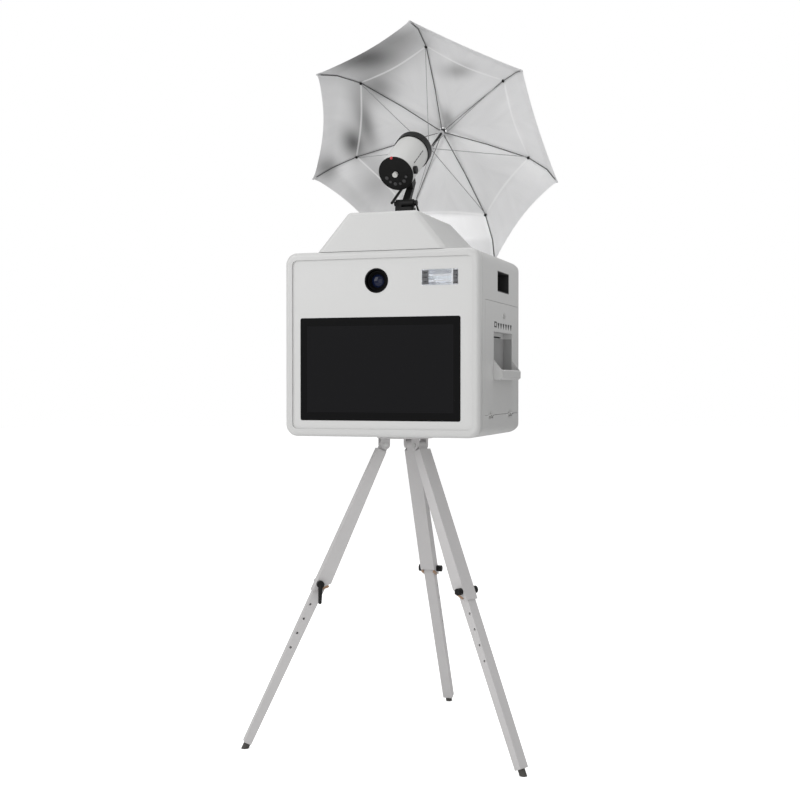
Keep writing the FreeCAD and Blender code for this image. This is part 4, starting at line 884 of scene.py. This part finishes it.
class BOOTH_OT_umbrella(bpy.types.Operator):
    """Make the umbrella's cloth, one gore round each rib, with its tips and seams"""
    bl_idname = "booth.umbrella"
    bl_label = "Reflector umbrella"

    def execute(self, context):
        look = context.scene.booth_light
        silver = cloth_material("Silver satin", look.cloth_color, 0.35, 0.36, 0.5, 0.0, 0.5)
        cover = cloth_material("Black umbrella cover", look.cloth_back, 0.0, 0.6, 0.4, 0.3, 0.0)
        frame_black = skin_material("Umbrella frame black", (0.014, 0.014, 0.014), 0.35, 1500.0, 0.2, 0.1,
                                     Specular_IOR_Level=0.25)
        rib_grey = skin_material("Rib wire", (0.07, 0.07, 0.072), 0.35, 1500.0, 0.2, 0.1)
        wire = skin_material("Stretcher wire", (0.34, 0.34, 0.345), 0.32, 1500.0, 0.1, 0.1)
        light = skin_material("Runner plastic", (0.55, 0.55, 0.56), 0.35, 1500.0, 0.1, 0.1)
        paint_nodes(frame_black, "umbrella_shaft")
        paint_nodes(light, "runner")
        for index in range(RIB_TOTAL):
            paint_nodes(rib_grey, "rib_%d" % (index + 1))
            paint_nodes(wire, "stretcher_%d" % (index + 1))
            self.add_gore(look, index, silver, cover)
            self.add_tip(index, light)
            self.add_ring_stud(index, frame_black)
        self.add_hub_cover(light)
        return {"FINISHED"}

    def gore_point(self, look, out, side, across, along):
        """A point of one gore. across runs -1..1 between the mid-gores, along 0..1 from hub to hem."""
        gap = math.pi / RIB_TOTAL
        open_share = between_ribs(across)
        shorter = hem_shortfall(look, across) / rib_length() * along
        spot = rib_curve(along - shorter)
        ahead = rib_curve(min(1.0, along + TANGENT_STEP))
        behind = rib_curve(max(0.0, along - TANGENT_STEP))
        tangent = (ahead - behind).normalized()
        lift = Vector((-tangent.y, tangent.x))
        if lift.x > 0:
            lift = -lift
        from_middle = (1 - abs(across)) * gap
        chord = math.cos(gap) / math.cos(from_middle)
        radius = spot.y * chord
        distance = spot.x
        near_ring = math.exp(-((along - ring_share()) / RING_REACH) ** 2)
        dip = look.gore_sag * open_share * math.sin(math.pi * min(1.0, along)) - \
            look.seam_dip * RING_PULL * open_share * near_ring
        distance += lift.x * look.cloth_height - lift.x * dip
        radius += lift.y * look.cloth_height - lift.y * dip
        turn = across * gap
        direction = out * math.cos(turn) + side * math.sin(turn)
        return HUB - ALONG * distance + direction * radius

    def add_gore(self, look, index, silver, cover):
        """One gore from mid-gore to mid-gore, riding on its rib."""
        out = RIB_OUT[index]
        side = ALONG.cross(out)
        clear_selection()
        bpy.ops.mesh.primitive_grid_add(x_subdivisions=STEPS_ACROSS, y_subdivisions=STEPS_ALONG, size=2.0)
        gore = name_active("umbrella_gore_%d" % (index + 1))
        mesh = gore.data
        cloth = mesh.uv_layers[0]
        cloth.name = "Cloth"
        marks = mesh.uv_layers.new(name="Seams")
        half_width = gore_cut_width() / 2
        ring = ring_share()
        length = rib_length()
        plan = [(v.co.x, (v.co.y + 1) / 2) for v in mesh.vertices]
        for loop in mesh.loops:
            across, along = plan[loop.vertex_index]
            width_here = half_width * max(0.05, rib_curve(along).y / RIB_LINE[-1][1])
            cloth.data[loop.index].uv = (across * width_here, along * length)
            run = along * (length - hem_shortfall(look, across))
            bow = look.seam_dip * between_ribs(across)
            marks.data[loop.index].uv = (run - ring * length + bow, (1 - along) * length)
        for vertex, (across, along) in zip(mesh.vertices, plan):
            vertex.co = self.gore_point(look, out, side, across, along)
        # painted shade: how much the painted shadows darken the cloth, stored on each point of the gore
        painted_shade = mesh.attributes.new("Shade", "FLOAT", "POINT")
        for vertex, value in zip(mesh.vertices, painted_shade.data):
            value.value = cloth_painted_shade(vertex.co - HUB)
        mesh.update()
        outward = sum((p.normal * p.area for p in mesh.polygons), Vector())
        if outward.dot(ALONG) < 0:
            mesh.flip_normals()
        gore.data.materials.append(cover)
        gore.data.materials.append(silver)
        modify(gore, "SOLIDIFY", thickness=look.cloth_thickness, offset=-1.0, material_offset=1,
               material_offset_rim=1)
        shade(gore, 60)
        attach(gore, "rib_body_%d" % (index + 1))
        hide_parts("canopy")
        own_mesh(gore)

    def add_tip(self, index, plastic):
        """The ball tip at a rib's outer end, holding the cloth's corner."""
        a, r = RIB_LINE[-1]
        tip = HUB - ALONG * a + RIB_OUT[index] * r
        a2, r2 = RIB_LINE[-2]
        run = (tip - (HUB - ALONG * a2 + RIB_OUT[index] * r2)).normalized()
        back, radius, length = TIP_SLEEVE
        sleeve = add_tube("tip_sleeve", tip - run * back, run, radius, length, 16)
        ahead, radius = TIP_BALL
        clear_selection()
        bpy.ops.mesh.primitive_uv_sphere_add(segments=16, ring_count=10, radius=radius,
                                             location=tip + run * ahead)
        ball = apply_place(name_active("tip_ball"))
        piece = join_pieces("rib_tip_%d" % (index + 1), [sleeve, ball])
        shade(piece, 50)
        place(piece, "rib_body_%d" % (index + 1), plastic)

    def add_hub_cover(self, light):
        """The pale ring that hides the ribs' ends on the handle side of the hub."""
        back, radius, length = HUB_COVER
        cover = add_tube("hub_cover", HUB - ALONG * back, -ALONG, radius, length, 40)
        edit_faces(cover, lambda face: abs(face.normal.dot(ALONG)) > 0.9,
                   lambda: bpy.ops.mesh.inset(thickness=0.0030, depth=0.0006))
        soften(cover, 0.0008, 2)
        place(cover, "umbrella", light)

    def add_ring_stud(self, index, black):
        """The domed black rivet under a rib where its stretcher meets it."""
        a, r = RIB_LINE[RING_STATION]
        run = (ALONG * -RIB_RUN[0] + RIB_OUT[index] * RIB_RUN[1]).normalized()
        inward = run.cross(RIB_OUT[index].cross(ALONG)).normalized()
        if inward.dot(ALONG) > 0:
            inward = -inward
        lift, radius, length = RING_STUD
        spot = HUB - ALONG * a + RIB_OUT[index] * r + inward * lift
        stud = add_tube("ring_stud_%d" % (index + 1), spot, inward, radius, length, 20)
        soften(stud, 0.0014, 3)
        place(stud, "rib_body_%d" % (index + 1), black)


# ---- stand ----
LEG_HALF_WIDTH = 0.024
KNOB_RADIUS = 0.0108
KNOB_LENGTH = 0.0175
KNOB_SIDES = 36
LEG_IN_U = -0.0275
LEG_OUT_U = 0.0175
LEG_IN_LENGTH = 0.478
LEG_OUT_LENGTH = 0.525
LEG_END_W = 0.0062
LEG_END_T = 0.0085
LEG_END_SHARE = 0.55     # share of the slanted end that the wood covers
LEG_END_SHIFT = 0.12     # how far the wood sits toward the inner edge, as a share of the end
CHEEK_MIDDLE = 0.0206     # middle of a cheek from the leg's middle
LEG_END_SETTLE = Vector((0, -0.0008, -0.0044))
LEG_SCREWS = (0.18, 0.44)     # along the slanted end
LEG_SCREW_SETTLE = Vector((0, -0.0024, -0.0086))
LEG_SCREW_SIZE = (0.0022, 0.0012)     # radius, length


class BOOTH_OT_stand(bpy.types.Operator):
    """Paint the stand and add the stained wood ends with their screws"""
    bl_idname = "booth.stand"
    bl_label = "Folding stand"

    def execute(self, context):
        look = context.scene.booth_stand
        paint = skin_material("Leg paint", look.paint_color, 0.45, 500.0, 0.10, 0.12, 0.15)
        clamp = skin_material("Clamp lever plastic", (0.007, 0.007, 0.007), 0.4, 1300.0, 0.2, 0.1, 0.15,
                              Specular_IOR_Level=0.22)
        rubber = skin_material("Foot rubber", (0.06, 0.057, 0.052), 0.7, 900.0, 0.4, 0.2, 0.5)
        wood = wood_material(look)
        screw = metal_material("Leg end screws", (0.55, 0.54, 0.52), 0.3, (600, 600, 600))
        paint_nodes(paint, "tripod_head", *["leg_upper_" + n for n in LEG_NAMES],
                    *["leg_lower_" + n for n in LEG_NAMES])
        paint_nodes(clamp, *["clamp_lever_" + n for n in LEG_NAMES])
        paint_nodes(rubber, *["foot_" + n for n in LEG_NAMES])
        for name in LEG_NAMES:
            self.add_leg_end(name, wood, screw)
            self.add_clamp_knob(name, clamp)
        return {"FINISHED"}

    def add_clamp_knob(self, name, clamp):
        """The fluted knob on the far end of a clamp bolt."""
        pivot = Vector(JOINTS["clamp_turn_" + name]["pos_m"])
        outward = -Vector(JOINTS["clamp_turn_" + name]["axis"]).normalized()
        knob = add_tube("clamp_knob_" + name, pivot + outward * (LEG_HALF_WIDTH + 0.0002), outward,
                        KNOB_RADIUS, KNOB_LENGTH, KNOB_SIDES)
        middle = pivot + outward * (LEG_HALF_WIDTH + KNOB_LENGTH / 2)

        def fluted(face):
            if abs(face.normal.dot(outward)) > 0.5:
                return False
            return face.index % 3 == 0

        def press_flutes():
            bpy.ops.mesh.inset(thickness=0.0004, depth=-0.0008, use_individual=True)

        edit_faces(knob, fluted, press_flutes)

        def press_cap():
            bpy.ops.mesh.inset(thickness=0.0028, depth=0.0)
            bpy.ops.mesh.inset(thickness=0.0006, depth=-0.0014)

        edit_faces(knob, lambda face: face.normal.dot(outward) > 0.9
                   and (face.calc_center_median() - middle).dot(outward) > 0, press_cap)
        soften(knob, 0.0005, 2)
        place(knob, "upper_" + name, clamp)

    def add_leg_end(self, name, wood, screw):
        """Thin stained end pieces under the two cheeks of an upper leg, with a screw in each."""
        hinge = JOINTS["fold_" + name]
        pivot = Vector(hinge["pos_m"])
        down = Vector(JOINTS["extend_" + name]["axis"]).normalized()
        sideways = Vector(hinge["axis"]).normalized()
        outward = down.cross(sideways).normalized()
        if outward.dot(pivot - Vector((STAND_X, STAND_Y, pivot.z))) < 0:
            outward = -outward
        turn = Matrix((sideways, outward, -down)).transposed().to_4x4()
        frame_matrix = Matrix.Translation(pivot) @ turn
        ends = []
        heads = []
        for cheek in (-1, 1):
            clear_selection()
            bpy.ops.mesh.primitive_cube_add(size=1.0)
            end = name_active("leg_end_cheek")
            run = Vector((0, LEG_OUT_U - LEG_IN_U, -(LEG_OUT_LENGTH - LEG_IN_LENGTH)))
            middle = Vector((cheek * CHEEK_MIDDLE, (LEG_OUT_U + LEG_IN_U) / 2,
                             -(LEG_OUT_LENGTH + LEG_IN_LENGTH) / 2))
            tilt = math.atan2(run.z, run.y)
            settle = run * -LEG_END_SHIFT + LEG_END_SETTLE
            end.matrix_world = (frame_matrix @ Matrix.Translation(middle + settle)
                                @ Matrix.Rotation(tilt, 4, "X")
                                @ Matrix.Diagonal((LEG_END_W, run.length * LEG_END_SHARE, LEG_END_T, 1)))
            apply_place(end)
            ends.append(soften(end, 0.0006, 2))
            for share in LEG_SCREWS:
                spot = middle + run * (share - 0.5) + LEG_SCREW_SETTLE
                at = frame_matrix @ spot
                slant = frame_matrix.to_3x3() @ Matrix.Rotation(tilt, 3, "X")
                normal = (slant @ Vector((0, 0, -1))).normalized()
                head = add_tube("leg_end_screw", at, normal, *LEG_SCREW_SIZE, 20)
                heads.append(soften(head, 0.0004, 2))
        place(join_pieces("leg_end_" + name, ends), "upper_" + name, wood)
        place(join_pieces("leg_end_screws_" + name, heads), "upper_" + name, screw)



# ---- stage ----
CAMERA_FROM_STAND = Vector((1.2622, -3.8958, 1.163))
CAMERA_AZIMUTH = math.radians(18.19)
CAMERA_DOWN = math.radians(0.747)
FOCAL_IN_WIDTHS = 1.5683125
SENSOR_MM = 36.0
ROOM_LIGHT = 0.59       # light of the room on the object, where the camera sees 1.0
FLOOR_LIFT = 0.55       # light that the floor adds for the camera alone
LIGHT_TARGET_Z = 1.3
# name, centre from the stand's axis, size, power
SOFTBOXES = (
    ("Key softbox", (-2.6, -3.4, 3.2), 3.0, 80.0),
    ("Front fill", (0.8, -4.6, 1.6), 3.0, 29.0),
    ("Top softbox", (0.3, 0.4, 4.6), 3.2, 45.0),
)
# name, centre from the stand's axis, facing, width, height
REFLECTION_CARDS = (
    ("card_low_back", (0.6, 2.2, 0.9), (0, -1, 0.5), 2.6, 1.2),
    ("card_roof_left", (-0.62, 0.0, 1.75), (0.5, 0.1, 1), 0.45, 0.7),
)


class BOOTH_OT_stage(bpy.types.Operator):
    """Add the floor, the soft lights, the world and the camera"""
    bl_idname = "booth.stage"
    bl_label = "Studio stage"

    def execute(self, context):
        self.add_floor()
        self.add_world(context.scene)
        for softbox in SOFTBOXES:
            self.add_light(*softbox)
        for card in REFLECTION_CARDS:
            self.add_card(*card)
        self.add_camera(context.scene)
        context.scene.view_settings.view_transform = "Standard"
        return {"FINISHED"}

    def add_floor(self):
        clear_selection()
        bpy.ops.mesh.primitive_circle_add(vertices=96, radius=30.0, fill_type="NGON")
        floor = name_active("floor")
        material, tree, shader = new_material("Pale floor")
        cloud = noise_of(tree, object_place(tree), 0.6, 3.0)
        pale = blend_color(tree, cloud, (0.90, 0.90, 0.90, 1), (0.94, 0.94, 0.94, 1))
        dress(tree, shader, pale, ramp(tree, cloud, 0.1, 0.7))
        shader.inputs["Emission Color"].default_value = (1.0, 1.0, 1.0, 1)
        seen = add_node(tree, "ShaderNodeLightPath").outputs["Is Camera Ray"]
        tree.links.new(calc(tree, "MULTIPLY", seen, FLOOR_LIFT), shader.inputs["Emission Strength"])
        floor.data.materials.append(material)

    def add_card(self, name, spot, normal, width, height):
        """A black card that only shows in reflections, as flags do in a studio."""
        clear_selection()
        bpy.ops.mesh.primitive_plane_add(size=1.0)
        card = name_active(name)
        turn = Vector(normal).normalized().to_track_quat("Z", "Y").to_matrix().to_4x4()
        card.matrix_world = (Matrix.Translation(Vector(spot) + Vector((STAND_X, STAND_Y, 0))) @ turn
                             @ Matrix.Diagonal((width, height, 1, 1)))
        apply_place(card)
        material, tree, shader = new_material("Black felt", Specular_IOR_Level=0.0)
        fuzz = noise_of(tree, object_place(tree), 8.0)
        tree.links.new(blend_color(tree, fuzz, (0.004, 0.004, 0.004, 1), (0.012, 0.012, 0.012, 1)),
                       shader.inputs["Base Color"])
        card.data.materials.append(material)
        card.visible_camera = False
        card.visible_diffuse = False
        card.visible_shadow = False
        card.visible_transmission = False

    def add_world(self, scene):
        """White for the camera and a little less light than that on the object."""
        world = bpy.data.worlds.new("Soft white room")
        world.use_nodes = True
        tree = world.node_tree
        background = tree.nodes["Background"]
        background.inputs["Color"].default_value = (1.0, 1.0, 1.0, 1)
        seen = add_node(tree, "ShaderNodeLightPath").outputs["Is Camera Ray"]
        strength = calc(tree, "ADD", calc(tree, "MULTIPLY", seen, 1.0 - ROOM_LIGHT), ROOM_LIGHT)
        tree.links.new(strength, background.inputs["Strength"])
        scene.world = world

    def add_light(self, name, offset, size, power):
        target = Vector((STAND_X, STAND_Y, LIGHT_TARGET_Z))
        spot = Vector((offset[0] + STAND_X, offset[1] + STAND_Y, offset[2]))
        clear_selection()
        bpy.ops.object.light_add(type="AREA", location=spot)
        light = bpy.context.object
        light.name = name
        light.data.shape = "SQUARE"
        light.data.size = size
        light.data.energy = power
        light.rotation_euler = (target - spot).to_track_quat("-Z", "Y").to_euler()

    def add_camera(self, scene):
        back = Vector((math.sin(CAMERA_AZIMUTH) * math.cos(CAMERA_DOWN),
                       -math.cos(CAMERA_AZIMUTH) * math.cos(CAMERA_DOWN), math.sin(CAMERA_DOWN)))
        right = Vector((math.cos(CAMERA_AZIMUTH), math.sin(CAMERA_AZIMUTH), 0))
        up = back.cross(right)
        clear_selection()
        bpy.ops.object.camera_add()
        camera = bpy.context.object
        camera.name = "Booth camera"
        turn = Matrix((right, up, back)).transposed().to_4x4()
        spot = CAMERA_FROM_STAND + Vector((STAND_X, STAND_Y, 0))
        camera.matrix_world = Matrix.Translation(spot) @ turn
        camera.data.sensor_width = SENSOR_MM
        camera.data.lens = FOCAL_IN_WIDTHS * SENSOR_MM
        camera.data.clip_end = 100
        scene.camera = camera


# ---- panel and registration ----
PIECE_OPERATORS = (BOOTH_OT_case, BOOTH_OT_screen, BOOTH_OT_lens, BOOTH_OT_flash, BOOTH_OT_strobe,
                   BOOTH_OT_umbrella, BOOTH_OT_stand, BOOTH_OT_stage)
SETTINGS = (("booth_case", BoothCaseSettings), ("booth_light", BoothLightSettings),
            ("booth_stand", BoothStandSettings))


class BOOTH_PT_panel(bpy.types.Panel):
    """Lists the settings and the steps that build the booth"""
    bl_idname = "BOOTH_PT_panel"
    bl_label = "Photo booth"
    bl_space_type = "VIEW_3D"
    bl_region_type = "UI"
    bl_category = "Booth"

    def draw(self, context):
        for name, group in SETTINGS:
            settings = getattr(context.scene, name)
            for key in group.__annotations__:
                self.layout.prop(settings, key)
        for operator in PIECE_OPERATORS:
            self.layout.operator(operator.bl_idname)


CLASSES = tuple(group for name, group in SETTINGS) + PIECE_OPERATORS + (BOOTH_PT_panel,)


def register():
    for cls in CLASSES:
        bpy.utils.register_class(cls)
    for name, group in SETTINGS:
        setattr(bpy.types.Scene, name, bpy.props.PointerProperty(type=group))


def unregister():
    for name, group in SETTINGS:
        delattr(bpy.types.Scene, name)
    for cls in reversed(CLASSES):
        bpy.utils.unregister_class(cls)


def main():
    register()
    make_skin_group()
    make_brushed_group()
    make_weave_group()
    bpy.ops.booth.case()
    bpy.ops.booth.screen()
    bpy.ops.booth.lens()
    bpy.ops.booth.flash()
    bpy.ops.booth.strobe()
    bpy.ops.booth.umbrella()
    bpy.ops.booth.stand()
    bpy.ops.booth.stage()


if __name__ == "__main__":
    main()
